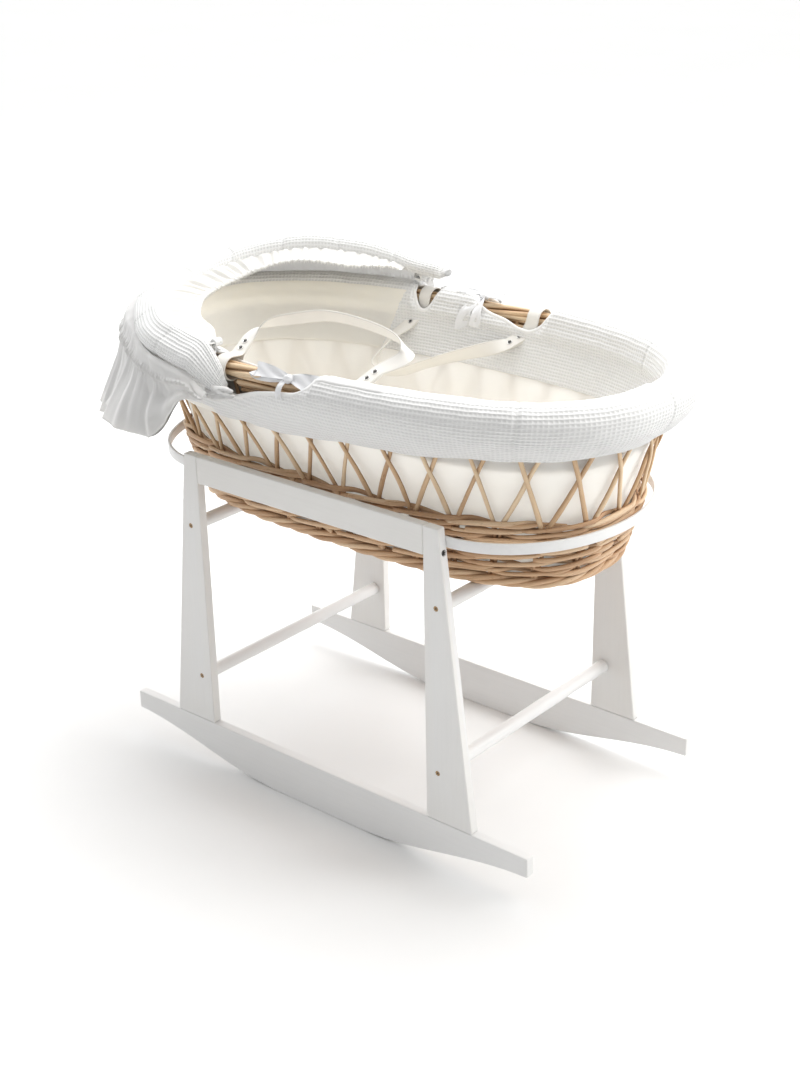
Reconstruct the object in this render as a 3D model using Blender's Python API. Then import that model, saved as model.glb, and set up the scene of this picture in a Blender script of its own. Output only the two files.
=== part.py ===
"""Baby cradle: a willow basket with a padded cover and a folding hood,
standing on a white wooden rocking stand.

Frame: +Z up, floor at z = 0, +X towards the foot end, the long side across Y.
Everything is designed about the middle of the stand and moved by SHIFT_X at
the end, so that the origin lies under the middle of the whole object.
"""
import math
import bpy
import bmesh
from mathutils import Matrix, Vector

# ------------------------------------------------------------ dimensions (m)
GAP = 0.0003                # clearance between touching pieces

# stand
ROCKER_LENGTH = 0.780
STAND_WIDTH = 0.426         # over the outer faces of the two sides
BOARD = 0.015               # board thickness
ROCKER_TOP = 0.0735         # straight top edge of a rocker
ROCKER_END = 0.0435         # underside of a rocker at its very end
ROCKER_FLAT = 0.090         # half length of the flat part underneath
LEG_INNER = 0.2145          # upright inner edge of a leg
LEG_FOOT = 0.295            # outer edge of a leg at the rocker
LEG_HEAD = 0.240            # outer edge of a leg at its top
LEG_TOP = 0.519
RAIL_HEIGHT = 0.0425
DOWEL_R = 0.010
DOWEL_X = 0.2356
DOWEL_Z = {"upper": 0.4040, "lower": 0.1510}
BAND_Z = 0.4970             # middle height of the bent end bands
BAND_HEIGHT = 0.015
BAND_THICK = 0.0045
BAND_REACH = 0.398          # outermost point of a bent band
SCREW_HEAD_R = 0.0038
SCREW_R = 0.0018
RAIL_SCREW_Z = 0.4840

# basket
BASE_Z = 0.4143             # underside, just above the upper dowels
RIM_Z = 0.6760              # middle of the willow border
BASE_A, BASE_B = 0.352, 0.153    # half length and half width at the base
RIM_A, RIM_B = 0.4295, 0.2295    # the same at the border
BORDER_R = 0.0115
WEAVE_TOP = 0.510           # top of the close-woven band
WEAVE_THICK = 0.009
BASE_THICK = 0.012
LATTICE_TOP = 0.6520
LATTICE_CROSS = 0.5840      # height where the rods cross
LATTICE_BAYS = 26
LATTICE_THICK = 0.0050
ROD_W = 0.0075
RING_SEG = 48               # points round the basket

# soft goods
SKIRT_BOTTOM = 0.600
SKIRT_THICK = 0.0120
LINING_TOP = 0.6250
LINING_THICK = 0.0030
MATTRESS_A, MATTRESS_B = 0.330, 0.136
MATTRESS_H = 0.040

# handles
STRAP_W, STRAP_T = 0.022, 0.0022
LOOP_R = 0.0158             # inner radius of the loop round the border
NEAR_ENDS = (-0.120, 0.103)
FAR_ENDS = (-0.125, 0.070)
NEAR_LEAN = math.radians(33.0)     # above the horizontal, leaning inwards
FAR_LEAN = math.radians(-45.0)     # hanging down inside
RIVET_R, RIVET_SHANK = 0.0042, 0.0015

# hood, folded back round the head end
PIVOT_X, PIVOT_Z = -0.142, 0.7075
PIVOT_R = 0.0058
HOOP_R = 0.0020
SHELL_THICK = 0.0070
SHELL_HEM = 0.553           # lowest point of the fabric behind the head end
SHELL_FLARE = 0.094

SHIFT_X = 0.0290            # puts the origin under the middle

# ------------------------------------------------------------ materials
def material(name, colour, rough, metal=0.0):
    m = bpy.data.materials.new(name)
    m.use_nodes = True
    p = m.node_tree.nodes["Principled BSDF"]
    p.inputs["Base Color"].default_value = (*colour, 1.0)
    p.inputs["Roughness"].default_value = rough
    p.inputs["Metallic"].default_value = metal
    m.diffuse_color = (*colour, 1.0)
    return m


def clear_scene():
    for ob in list(bpy.data.objects):
        bpy.data.objects.remove(ob, do_unlink=True)


def add_object(name, mesh, mat, smooth=False, parent=None):
    ob = bpy.data.objects.new(name, mesh)
    bpy.context.scene.collection.objects.link(ob)
    mesh.materials.append(mat)
    if smooth:
        mesh.shade_smooth()
        mesh.set_sharp_from_angle(angle=math.radians(38))
    if parent is not None:
        # keep the piece where it is and let it turn about the parent's axis
        ob.parent = parent
        ob.matrix_parent_inverse = Matrix.Translation(-parent.location)
    return ob


def mesh_from(name, verts, faces):
    me = bpy.data.meshes.new(name)
    me.from_pydata([tuple(v) for v in verts], [], faces)
    me.update()
    bm = bmesh.new()
    bm.from_mesh(me)
    bmesh.ops.recalc_face_normals(bm, faces=bm.faces)
    if bm.calc_volume(signed=True) < 0:
        bmesh.ops.reverse_faces(bm, faces=bm.faces)
    bm.to_mesh(me)
    bm.free()
    return me


# ------------------------------------------------------------ basic solids
def prism(name, outline, y0, y1, mat, bevel=0.0, parent=None):
    """A board: an outline in the X-Z plane, extruded from y0 to y1."""
    n = len(outline)
    verts = [(x, y0, z) for x, z in outline] + [(x, y1, z) for x, z in outline]
    faces = [tuple(range(n)), tuple(range(2 * n - 1, n - 1, -1))]
    faces += [(i, (i + 1) % n, n + (i + 1) % n, n + i) for i in range(n)]
    ob = add_object(name, mesh_from(name, verts, faces), mat, parent=parent)
    if bevel:
        mod = ob.modifiers.new("eased_edges", "BEVEL")
        mod.width = bevel
        mod.segments = 1
        mod.limit_method = "ANGLE"
        mod.angle_limit = math.radians(40)
    return ob


def axis_frame(direction):
    d = Vector(direction).normalized()
    up = Vector((0, 0, 1)) if abs(d.z) < 0.9 else Vector((1, 0, 0))
    u = d.cross(up).normalized()
    return d, u, d.cross(u).normalized()


def turned_mesh(name, origin, direction, profile, seg):
    """A turned solid: (distance along the axis, radius) from end to end."""
    d, u, v = axis_frame(direction)
    o = Vector(origin)
    verts, faces = [], []
    for s, r in profile:
        for k in range(seg):
            a = 2 * math.pi * k / seg
            verts.append(o + d * s + (u * math.cos(a) + v * math.sin(a)) * r)
    m = len(profile)
    for i in range(m - 1):
        for k in range(seg):
            k2 = (k + 1) % seg
            faces.append((i * seg + k, i * seg + k2, (i + 1) * seg + k2, (i + 1) * seg + k))
    faces.append(tuple(range(seg - 1, -1, -1)))
    faces.append(tuple((m - 1) * seg + k for k in range(seg)))
    return mesh_from(name, verts, faces)


def turned(name, origin, direction, profile, mat, seg=12, parent=None):
    return add_object(name, turned_mesh(name, origin, direction, profile, seg), mat, True, parent)


def cutter(name, mesh):
    ob = bpy.data.objects.new(name, mesh)
    bpy.context.scene.collection.objects.link(ob)
    ob.hide_render = True
    ob.display_type = "WIRE"
    return ob


def drill(ob, name, origin, direction, profile, seg=12):
    c = cutter(name, turned_mesh(name, origin, direction, profile, seg))
    mod = ob.modifiers.new(name, "BOOLEAN")
    mod.operation = "DIFFERENCE"
    mod.solver = "EXACT"
    mod.object = c
    return c


def cut_box(ob, name, low, high):
    (x0, y0, z0), (x1, y1, z1) = low, high
    verts = [(x, y, z) for z in (z0, z1) for y in (y0, y1) for x in (x0, x1)]
    faces = [(0, 1, 3, 2), (4, 5, 7, 6), (0, 1, 5, 4), (2, 3, 7, 6), (0, 2, 6, 4), (1, 3, 7, 5)]
    c = cutter(name, mesh_from(name, verts, faces))
    mod = ob.modifiers.new(name, "BOOLEAN")
    mod.operation = "DIFFERENCE"
    mod.solver = "EXACT"
    mod.object = c
    return c


# ------------------------------------------------------------ basket outline
def smooth01(t):
    t = max(0.0, min(1.0, t))
    return t * t * (3 - 2 * t)


def half_axes(z):
    """Half length, half width and squareness of the basket at height z."""
    h = max(0.0, min(1.0, (z - BASE_Z) / (RIM_Z - BASE_Z)))
    a = BASE_A + (RIM_A - BASE_A) * h ** 0.8
    b = BASE_B + (RIM_B - BASE_B) * h ** 1.3
    return a, b, 2.9 - 0.4 * h


def plan_points(a, b, n, offset=0.0, count=RING_SEG):
    """Evenly spaced points on a rounded oblong, pushed out by offset.
    Each item is (x, y, outward x, outward y)."""
    dense = []
    steps = 720
    for i in range(steps):
        t = 2 * math.pi * i / steps
        c, s = math.cos(t), math.sin(t)
        dense.append((a * math.copysign(abs(c) ** (2 / n), c),
                      b * math.copysign(abs(s) ** (2 / n), s)))
    lengths = [0.0]
    for i in range(steps):
        p, q = dense[i], dense[(i + 1) % steps]
        lengths.append(lengths[-1] + math.hypot(q[0] - p[0], q[1] - p[1]))
    total = lengths[-1]
    out = []
    j = 0
    for k in range(count):
        want = total * k / count
        while lengths[j + 1] < want:
            j += 1
        f = (want - lengths[j]) / max(1e-12, lengths[j + 1] - lengths[j])
        p, q = dense[j % steps], dense[(j + 1) % steps]
        x, y = p[0] + (q[0] - p[0]) * f, p[1] + (q[1] - p[1]) * f
        gx = math.copysign(abs(x / a) ** (n - 1), x) / a
        gy = math.copysign(abs(y / b) ** (n - 1), y) / b
        g = math.hypot(gx, gy)
        gx, gy = gx / g, gy / g
        out.append((x + gx * offset, y + gy * offset, gx, gy))
    return out


def ring(z, offset, count=RING_SEG):
    a, b, n = half_axes(z)
    return [(x, y, z) for x, y, _, _ in plan_points(a, b, n, offset, count)]


def looped_solid(name, rings, mat, parent=None, smooth=True):
    """A ring-shaped solid: closed round the basket and round its section."""
    m, n = len(rings), len(rings[0])
    verts = [p for r in rings for p in r]
    faces = []
    for i in range(m):
        i2 = (i + 1) % m
        for k in range(n):
            k2 = (k + 1) % n
            faces.append((i * n + k, i * n + k2, i2 * n + k2, i2 * n + k))
    return add_object(name, mesh_from(name, verts, faces), mat, smooth, parent)


def capped_solid(name, rings, mat, parent=None, smooth=True):
    """A solid lofted through closed outlines, with flat first and last."""
    m, n = len(rings), len(rings[0])
    verts = [p for r in rings for p in r]
    faces = [tuple(range(n - 1, -1, -1)), tuple((m - 1) * n + k for k in range(n))]
    for i in range(m - 1):
        for k in range(n):
            k2 = (k + 1) % n
            faces.append((i * n + k, i * n + k2, (i + 1) * n + k2, (i + 1) * n + k))
    return add_object(name, mesh_from(name, verts, faces), mat, smooth, parent)


# ------------------------------------------------------------ stand
def rocker_outline():
    half = ROCKER_LENGTH / 2
    pts = [(-half, ROCKER_TOP), (half, ROCKER_TOP)]
    steps = 9
    low = []
    for i in range(steps + 1):
        t = i / steps
        x = ROCKER_FLAT + (half - ROCKER_FLAT) * t
        s = 0.8 * math.sin(0.5 * math.pi * t) ** 2 + 0.2 * t
        low.append((x, ROCKER_END * s))
    pts += list(reversed(low))
    pts += [(-x, z) for x, z in low]
    return list(reversed(pts))


def build_stand(white, brass, steel, birch):
    outer = STAND_WIDTH / 2
    inner = outer - BOARD
    mid = (outer + inner) / 2
    for side, s in (("near", -1), ("far", 1)):
        y0, y1 = sorted((s * outer, s * inner))
        rocker = prism(side + "_rocker", rocker_outline(), y0, y1, white, 0.0012)
        rail = prism(side + "_top_rail",
                     [(-LEG_INNER + GAP, LEG_TOP - RAIL_HEIGHT), (LEG_INNER - GAP, LEG_TOP - RAIL_HEIGHT),
                      (LEG_INNER - GAP, LEG_TOP), (-LEG_INNER + GAP, LEG_TOP)], y0, y1, white, 0.0012)
        for end, e in (("head", -1), ("foot", 1)):
            z0 = ROCKER_TOP + GAP
            pts = [(e * LEG_INNER, z0), (e * LEG_FOOT, z0), (e * LEG_HEAD, LEG_TOP), (e * LEG_INNER, LEG_TOP)]
            tag = side + "_" + end
            leg = prism(tag + "_leg", pts if e > 0 else list(reversed(pts)), y0, y1, white, 0.0012)
            # screws through the leg into the ends of the two cross dowels
            for level in ("upper", "lower"):
                z = DOWEL_Z[level]
                face = (e * DOWEL_X, s * outer, z)
                drill(leg, "cut_" + tag + "_" + level, face, (0, -s, 0),
                      [(-0.004, SCREW_HEAD_R + 0.0045), (0.0, SCREW_HEAD_R + 0.0006),
                       (0.0026, SCREW_R + 0.0006), (BOARD + 0.004, SCREW_R + 0.0006)], 8)
                turned(tag + "_" + level + "_screw", face, (0, -s, 0),
                       [(0.0004, SCREW_HEAD_R - 0.0004), (0.0007, SCREW_HEAD_R), (0.0031, SCREW_R),
                        (0.0360, SCREW_R), (0.0400, 0.0005)], brass, 8)
            # a long screw through the leg's narrow face into the end of the rail
            slope = (LEG_FOOT - LEG_HEAD) / (LEG_TOP - z0)
            xe = LEG_HEAD + slope * (LEG_TOP - RAIL_SCREW_Z)
            start = (e * (xe + 0.002), s * mid, RAIL_SCREW_Z)
            drill(leg, "cut_" + tag + "_rail", start, (-e, 0, 0),
                  [(-0.003, 0.0042), (0.0062, 0.0042), (0.0062, 0.0025), (0.040, 0.0025)], 8)
            drill(rail, "cut_rail_" + tag, (e * (LEG_INNER + 0.002), s * mid, RAIL_SCREW_Z), (-e, 0, 0),
                  [(-0.001, 0.0025), (0.034, 0.0025)], 8)
            turned(tag + "_rail_screw", start, (-e, 0, 0),
                   [(0.0030, 0.0034), (0.0033, 0.0037), (0.0058, 0.0037), (0.0058, 0.0021),
                    (0.054, 0.0021), (0.058, 0.0005)], steel, 8)
            # a wooden pin between the rocker and the foot of the leg
            px = e * (LEG_INNER + LEG_FOOT) / 2
            drill(leg, "cut_" + tag + "_pin", (px, s * mid, ROCKER_TOP - 0.004), (0, 0, 1),
                  [(0, 0.0043), (0.0205, 0.0043)], 8)
            drill(rocker, "cut_rocker_" + tag, (px, s * mid, ROCKER_TOP + 0.004), (0, 0, -1),
                  [(0, 0.0043), (0.0205, 0.0043)], 8)
            turned(tag + "_leg_pin", (px, s * mid, ROCKER_TOP - 0.0160), (0, 0, 1),
                   [(0, 0.0034), (0.001, 0.0040), (0.0312, 0.0040), (0.0322, 0.0034)], birch, 8)
            # the screw that holds the bent band to the inner face of the leg
            drill(leg, "cut_" + tag + "_band", (e * 0.2285, s * (inner - 0.002), BAND_Z), (0, s, 0),
                  [(0, SCREW_R + 0.0004), (0.0145, SCREW_R + 0.0004)], 8)
    for end, e in (("head", -1), ("foot", 1)):
        for level in ("upper", "lower"):
            z = DOWEL_Z[level]
            ln = 2 * (inner - GAP)
            dowel = turned(end + "_" + level + "_dowel", (e * DOWEL_X, -ln / 2, z), (0, 1, 0),
                           [(0, DOWEL_R), (ln, DOWEL_R)], white, 20)
            for s in (-1, 1):
                drill(dowel, "cut_%s_%s_%d" % (end, level, s), (e * DOWEL_X, s * (inner + 0.003), z), (0, -s, 0),
                      [(0, SCREW_R + 0.0006), (0.032, SCREW_R + 0.0006)], 8)
        # bent band: straight against the legs, then half round the end
        x0, x1 = LEG_INNER + 0.0012, LEG_INNER + 0.0255
        b = inner - GAP
        rings = []
        arc = 22
        path = [(x0, -1.0, 0.0)] + [(0, t, 1.0) for t in [-math.pi / 2 + math.pi * i / arc for i in range(arc + 1)]] + [(x0, 1.0, 0.0)]
        for p, t, curved in path:
            if curved:
                nx, ny = math.cos(t), math.sin(t)
                ax, by = BAND_REACH - x1, b
                outp = (x1 + ax * nx, by * ny)
                g = Vector((nx / ax, ny / by)).normalized()
            else:
                outp = (p, b * t)
                g = Vector((0, t))
            inn = (outp[0] - g.x * BAND_THICK, outp[1] - g.y * BAND_THICK)
            zl, zh = BAND_Z - BAND_HEIGHT / 2, BAND_Z + BAND_HEIGHT / 2
            rings.append([(e * outp[0], outp[1], zl), (e * outp[0], outp[1], zh),
                          (e * inn[0], inn[1], zh), (e * inn[0], inn[1], zl)])
        band = capped_solid(end + "_end_band", rings, white)
        for s, side in ((-1, "near"), (1, "far")):
            tag = side + "_" + end
            yf = s * (b - BAND_THICK)
            drill(band, "cut_band_" + tag, (e * 0.2285, yf - s * 0.003, BAND_Z), (0, s, 0),
                  [(0, 0.0031 + 0.0030), (0.0030, 0.0034), (0.0048, SCREW_R + 0.0005), (0.012, SCREW_R + 0.0005)], 8)
            turned(tag + "_band_screw", (e * 0.2285, yf, BAND_Z), (0, s, 0),
                   [(0.0003, 0.0026), (0.0005, 0.0028), (0.0021, 0.0016), (0.0150, 0.0016), (0.0168, 0.0005)],
                   brass, 10)


# ------------------------------------------------------------ basket
def build_basket(willow, border_mat, cotton, waffle, ticking):
    # oval base of close-woven willow
    base_a, base_b, base_n = half_axes(BASE_Z)
    def slab(z, off):
        return [(x, y, z) for x, y, _, _ in plan_points(base_a, base_b, base_n, off - WEAVE_THICK - GAP)]
    capped_solid("wicker_base", [slab(BASE_Z, 0), slab(BASE_Z + BASE_THICK, 0)], willow, smooth=False)
    # close-woven band round the lower side; its foot swells into a border strand
    levels = [(BASE_Z, 0.0), (BASE_Z + 0.012, 0.0025), (BASE_Z + 0.026, 0.0), (0.470, 0.0), (WEAVE_TOP, 0.0)]
    rings = [ring(z, o) for z, o in levels]
    rings += [ring(z, -WEAVE_THICK) for z in (WEAVE_TOP, 0.470, BASE_Z + 0.026, BASE_Z + 0.012)]
    rings += [ring(BASE_Z, -WEAVE_THICK)]
    looped_solid("woven_side_band", rings, willow)

    # open lattice of crossing rods, one netting-like wall
    bays = LATTICE_BAYS
    zb0, zb1 = WEAVE_TOP + GAP, WEAVE_TOP + 0.006
    zc = LATTICE_CROSS
    def wall_point(u, z):
        a, b, n = half_axes(z)
        key = round(z, 5)
        if key not in cache:
            cache[key] = plan_points(a, b, n, -0.0010, 4 * 26 * 4)
        pts = cache[key]
        f = (u % 1.0) * len(pts)
        i = int(f)
        p, q = pts[i % len(pts)], pts[(i + 1) % len(pts)]
        f -= i
        return (p[0] + (q[0] - p[0]) * f, p[1] + (q[1] - p[1]) * f, z)
    cache = {}
    verts, faces, index = [], [], {}
    def vert(u, z):
        key = (round((u % 1.0) * 1e5) % 100000, round(z * 1e5))
        if key not in index:
            index[key] = len(verts)
            verts.append(wall_point(u, z))
        return index[key]
    def quad(*corners):
        faces.append(tuple(vert(u, z) for u, z in corners))
    pitch = 1.0 / bays
    perimeter = 2.0
    a, b, n = half_axes(0.56)
    pts = plan_points(a, b, n, 0, 200)
    perimeter = sum(math.hypot(pts[i][0] - pts[i - 1][0], pts[i][1] - pts[i - 1][1]) for i in range(200))
    w = ROD_W / perimeter
    foot = 0.0022 / perimeter
    zlo, zhi = zc - 0.007, zc + 0.007
    for i in range(bays):
        c = (i + 0.5) * pitch
        lf, rf = c - 0.5 * pitch + foot, c + 0.5 * pitch - foot
        # bottom ring under this bay
        us = [c - 0.5 * pitch - foot, lf, lf + w * 1.25, rf - w * 1.25, rf]
        for u0, u1 in zip(us[:-1], us[1:]):
            quad((u0, zb0), (u1, zb0), (u1, zb1), (u0, zb1))
        # two slanting arms up to the crossing
        steps = 2
        for left in (True, False):
            lo0, lo1 = (lf, lf + w * 1.25) if left else (rf - w * 1.25, rf)
            hi0, hi1 = (c - w * 0.62, c) if left else (c, c + w * 0.62)
            for k in range(steps):
                t0, t1 = k / steps, (k + 1) / steps
                za, zb = zb1 + (zlo - zb1) * t0, zb1 + (zlo - zb1) * t1
                quad((lo0 + (hi0 - lo0) * t0, za), (lo1 + (hi1 - lo1) * t0, za),
                     (lo1 + (hi1 - lo1) * t1, zb), (lo0 + (hi0 - lo0) * t1, zb))
        # the crossing, and the two short ends above it
        quad((c - w * 0.62, zlo), (c, zlo), (c, zhi), (c - w * 0.62, zhi))
        quad((c, zlo), (c + w * 0.62, zlo), (c + w * 0.62, zhi), (c, zhi))
        spread = 0.16 * pitch
        quad((c - w * 0.62, zhi), (c, zhi), (c - spread + w, LATTICE_TOP), (c - spread, LATTICE_TOP))
        quad((c, zhi), (c + w * 0.62, zhi), (c + spread, LATTICE_TOP), (c + spread - w, LATTICE_TOP))
    me = bpy.data.meshes.new("side_lattice")
    me.from_pydata(verts, [], faces)
    me.update()
    bm = bmesh.new()
    bm.from_mesh(me)
    bmesh.ops.recalc_face_normals(bm, faces=bm.faces)
    probe = max(bm.faces, key=lambda f: f.calc_center_median().x)
    if probe.normal.x < 0:
        bmesh.ops.reverse_faces(bm, faces=bm.faces)
    bm.to_mesh(me)
    bm.free()
    lattice = add_object("side_lattice", me, willow)
    mod = lattice.modifiers.new("rod_thickness", "SOLIDIFY")
    mod.thickness = LATTICE_THICK
    mod.offset = -1.0
    mod.use_rim = True

    # border rod round the top
    rings = []
    for k in range(8):
        t = 2 * math.pi * k / 8
        a, b, n = half_axes(RIM_Z)
        rings.append([(x, y, RIM_Z + BORDER_R * math.sin(t)) for x, y, _, _ in
                      plan_points(a, b, n, BORDER_R * math.cos(t))])
    looped_solid("top_border", rings, border_mat)

    # fabric lining: a thin bowl against the willow
    off_out = -WEAVE_THICK - 0.0010
    zf = BASE_Z + BASE_THICK + GAP
    lin = [ring(z, off_out - (0.0 if z > zf + 0.001 else 0.004)) for z in (zf, zf + 0.006, 0.490, 0.560, LINING_TOP)]
    lin += [ring(z, off_out - LINING_THICK - (0.0 if z > zf + 0.0075 else 0.004)) for z in (LINING_TOP, 0.560, 0.490, zf + 0.012, zf + LINING_THICK)]
    capped_solid("lining", lin, cotton)

    # padded cover over the rim: outside flap, round over the border, inside flap
    t = SKIRT_THICK - 0.0010
    top = RIM_Z + BORDER_R + 0.0008
    side = BORDER_R + 0.0020
    profile = [(0.0015, SKIRT_BOTTOM), (0.0015, 0.645), (side, 0.664), (side, 0.681), (side * 0.55, top),
               (-side * 0.55, top), (-side, 0.681), (-0.0125, 0.650),
               (-0.0235, 0.651), (-side - t, 0.676), (-side * 0.85, top + t * 0.85),
               (0.0, top + t), (side * 0.85, top + t * 0.88), (side + t, 0.682),
               (side + t * 0.85, 0.646), (0.0120, SKIRT_BOTTOM)]
    skirt = looped_solid("padded_skirt", [ring(z, o) for o, z in profile], waffle)
    # the cover is slit at both sides to let the handles out
    slot_z = 0.6540
    x0, x1 = min(NEAR_ENDS[0], FAR_ENDS[0]), max(NEAR_ENDS[1], FAR_ENDS[1])
    for side, s in (("near", -1), ("far", 1)):
        for where, ya, yb, z, more in (("top", 0.170, 0.275, slot_z, 0.0185), ("inside", 0.170, 0.216, 0.640, 0.0320)):
            lo, hi = sorted((s * ya, s * yb))
            cut_box(skirt, "cut_%s_slot_%s" % (side, where), (x0 - more, lo, z), (x1 + more, hi, 0.740))

    # mattress
    zm = zf + LINING_THICK + 0.0006
    def pad(z, off):
        return [(x, y, z) for x, y, _, _ in plan_points(MATTRESS_A, MATTRESS_B, 2.9, off, 40)]
    lift = bpy.data.objects.new("mattress_lift", None)
    bpy.context.scene.collection.objects.link(lift)
    capped_solid("mattress", [pad(zm, -0.006), pad(zm + 0.008, 0), pad(zm + MATTRESS_H - 0.010, 0),
                              pad(zm + MATTRESS_H, -0.010)], ticking, parent=lift)


def rim_y(x):
    a, b, n = half_axes(RIM_Z)
    return b * (1 - (abs(x) / a) ** n) ** (1 / n)


# ------------------------------------------------------------ handles
def catmull(points, per):
    out = []
    n = len(points)
    for i in range(n - 1):
        p0 = points[max(0, i - 1)]
        p1, p2 = points[i], points[i + 1]
        p3 = points[min(n - 1, i + 2)]
        for k in range(per):
            t = k / per
            out.append(0.5 * ((2 * p1) + (p2 - p0) * t + (2 * p0 - 5 * p1 + 4 * p2 - p3) * t * t
                              + (3 * p1 - p0 - 3 * p2 + p3) * t ** 3))
    out.append(points[-1])
    return out


def build_handle(side, leather, nickel, parent):
    """A flat strap in an arch. Each end goes round the willow border and is
    doubled under itself, where two rivets hold the layers together."""
    near = side == "near"
    s = 1 if near else -1                      # inward is +Y on the near side
    lean = NEAR_LEAN if near else FAR_LEAN
    ends = NEAR_ENDS if near else FAR_ENDS
    axis_y = -s * sum(rim_y(x) for x in ends) / 2
    up = Vector((0, s * math.cos(lean), math.sin(lean)))      # away from the border
    across = Vector((0, -s * math.sin(lean), math.cos(lean)))  # out of the arch's plane, upwards side
    ex = Vector((1, 0, 0))
    centre = Vector((0, axis_y, RIM_Z))
    if near:
        skews = (-0.10, 0.42)
        arch = [(-0.121, 0.072), (-0.104, 0.090), (-0.072, 0.105), (-0.026, 0.121), (0.034, 0.122),
                (0.098, 0.113), (0.134, 0.098), (0.142, 0.080)]
    else:
        skews = (-0.45, -0.45)
        arch = [(-0.161, 0.080), (-0.168, 0.115), (-0.164, 0.134), (-0.144, 0.141), (-0.110, 0.134),
                (-0.072, 0.112), (-0.026, 0.088), (0.022, 0.066)]
    x0, x1 = ends
    lay = LOOP_R + STRAP_T / 2                 # radius of the strap's middle line round the border
    doubled = 0.0530                           # how far the doubled end reaches from the border
    lower = -(STRAP_T + 0.0007)                # the doubled end lies this far under the strap

    def place(x, h, n):
        return centre + ex * x + up * h + across * n

    def end_path(x, skew):
        """From the tip of the doubled end, round the border, out to the strap."""
        def out(h, n):
            return place(x + skew * (h - 0.016), h, n)
        pts = [out(doubled, lower), out(0.040, lower), out(0.0295, lower), out(0.027, lower), out(0.021, lower - 0.0028)]
        for k in range(9):
            a = math.radians(-38 - 284 * k / 8)
            pts.append(place(x, lay * math.cos(a), lay * math.sin(a)))
        pts += [out(0.021, 0.0035), out(0.027, 0.0), out(0.0295, 0.0), out(0.040, 0.0)]
        return pts

    path = []
    widths = []
    for p in end_path(x0, skews[0]):
        path.append(p)
        widths.append(0.0)
    mid_pts = [Vector((x0 + skews[0] * (doubled - 0.016), doubled)), *[Vector(q) for q in arch],
               Vector((x1 + skews[1] * (doubled - 0.016), doubled))]
    smooth = catmull(mid_pts, 3)
    m = len(smooth)
    for i, q in enumerate(smooth):
        path.append(place(q.x, q.y, 0.0))
        f = i / (m - 1)
        widths.append(smooth01(min(f, 1 - f) / 0.36))
    for p in reversed(end_path(x1, skews[1])):
        path.append(p)
        widths.append(0.0)
    # section at each point: width lies along X at the ends and stands on edge in the middle
    rings = []
    for i, p in enumerate(path):
        a = path[max(0, i - 1)]
        b = path[min(len(path) - 1, i + 1)]
        tangent = (b - a).normalized()
        ang = widths[i] * math.pi / 2
        half = i < len(path) / 2
        wv = ex * math.cos(ang) + across * (math.sin(ang) if half else -math.sin(ang))
        wv = (wv - tangent * wv.dot(tangent)).normalized()
        tv = tangent.cross(wv).normalized()
        w, t = wv * STRAP_W / 2, tv * STRAP_T / 2
        rings.append([p - w - t, p + w - t, p + w + t, p - w + t])
    # keep the section's corners from swapping sides past the middle of the arch
    for i in range(1, len(rings)):
        prev, cur = rings[i - 1], rings[i]
        best = min(range(4), key=lambda r: sum((cur[(k + r) % 4] - prev[k]).length for k in range(4)))
        rings[i] = [cur[(k + best) % 4] for k in range(4)]
    strap = capped_solid(side + "_handle", rings, leather, parent=parent)
    # rivets through both layers at each end
    for end, x, skew in (("head", x0, skews[0]), ("foot", x1, skews[1])):
        for k, h in ((1, 0.0480), (2, 0.0355)):
            o = place(x + skew * (h - 0.016), h, 0.0)
            drill(strap, "cut_%s_%s_%d" % (side, end, k), o - across * 0.008, across,
                  [(0, RIVET_SHANK + 0.0005), (0.016, RIVET_SHANK + 0.0005)], 8)
            top = STRAP_T / 2 + 0.0003
            low = lower - STRAP_T / 2 - 0.0003
            turned("%s_%s_rivet_%d" % (side, end, k), o, across,
                   [(low - 0.0012, RIVET_R * 0.75), (low - 0.0004, RIVET_R * 0.95), (low, RIVET_R * 0.95), (low, RIVET_SHANK),
                    (top, RIVET_SHANK), (top, RIVET_R), (top + 0.0006, RIVET_R), (top + 0.0016, RIVET_R * 0.5)],
                   nickel, 10, parent=parent)
    return strap


def build_tie(side, ribbon, x_mid, spread):
    """A ribbon bow lying along the top of the border, tied in the middle."""
    s = -1 if side == "near" else 1
    rings = []
    steps = 12
    for i in range(steps + 1):
        f = i / steps
        x = x_mid - spread + 2 * spread * f
        k = math.exp(-((x - x_mid) / 0.008) ** 2)      # 1 at the knot
        w = 0.0075 * (0.75 + 0.25 * abs(2 * f - 1)) * (1 - 0.15 * k)
        h = 0.0014 + 0.0030 * k
        zc = RIM_Z + BORDER_R + 0.0012 + h
        y = s * rim_y(x)
        rings.append([(x, y + w * math.cos(2 * math.pi * j / 8), zc + h * math.sin(2 * math.pi * j / 8))
                      for j in range(8)])
    capped_solid(side + "_tie", rings, ribbon)


# ------------------------------------------------------------ hood
HOOD_A, HOOD_B, HOOD_N = 0.4180, 0.2310, 2.35    # plan line of the folded hoop
HOOD_STEPS = 25
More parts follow.
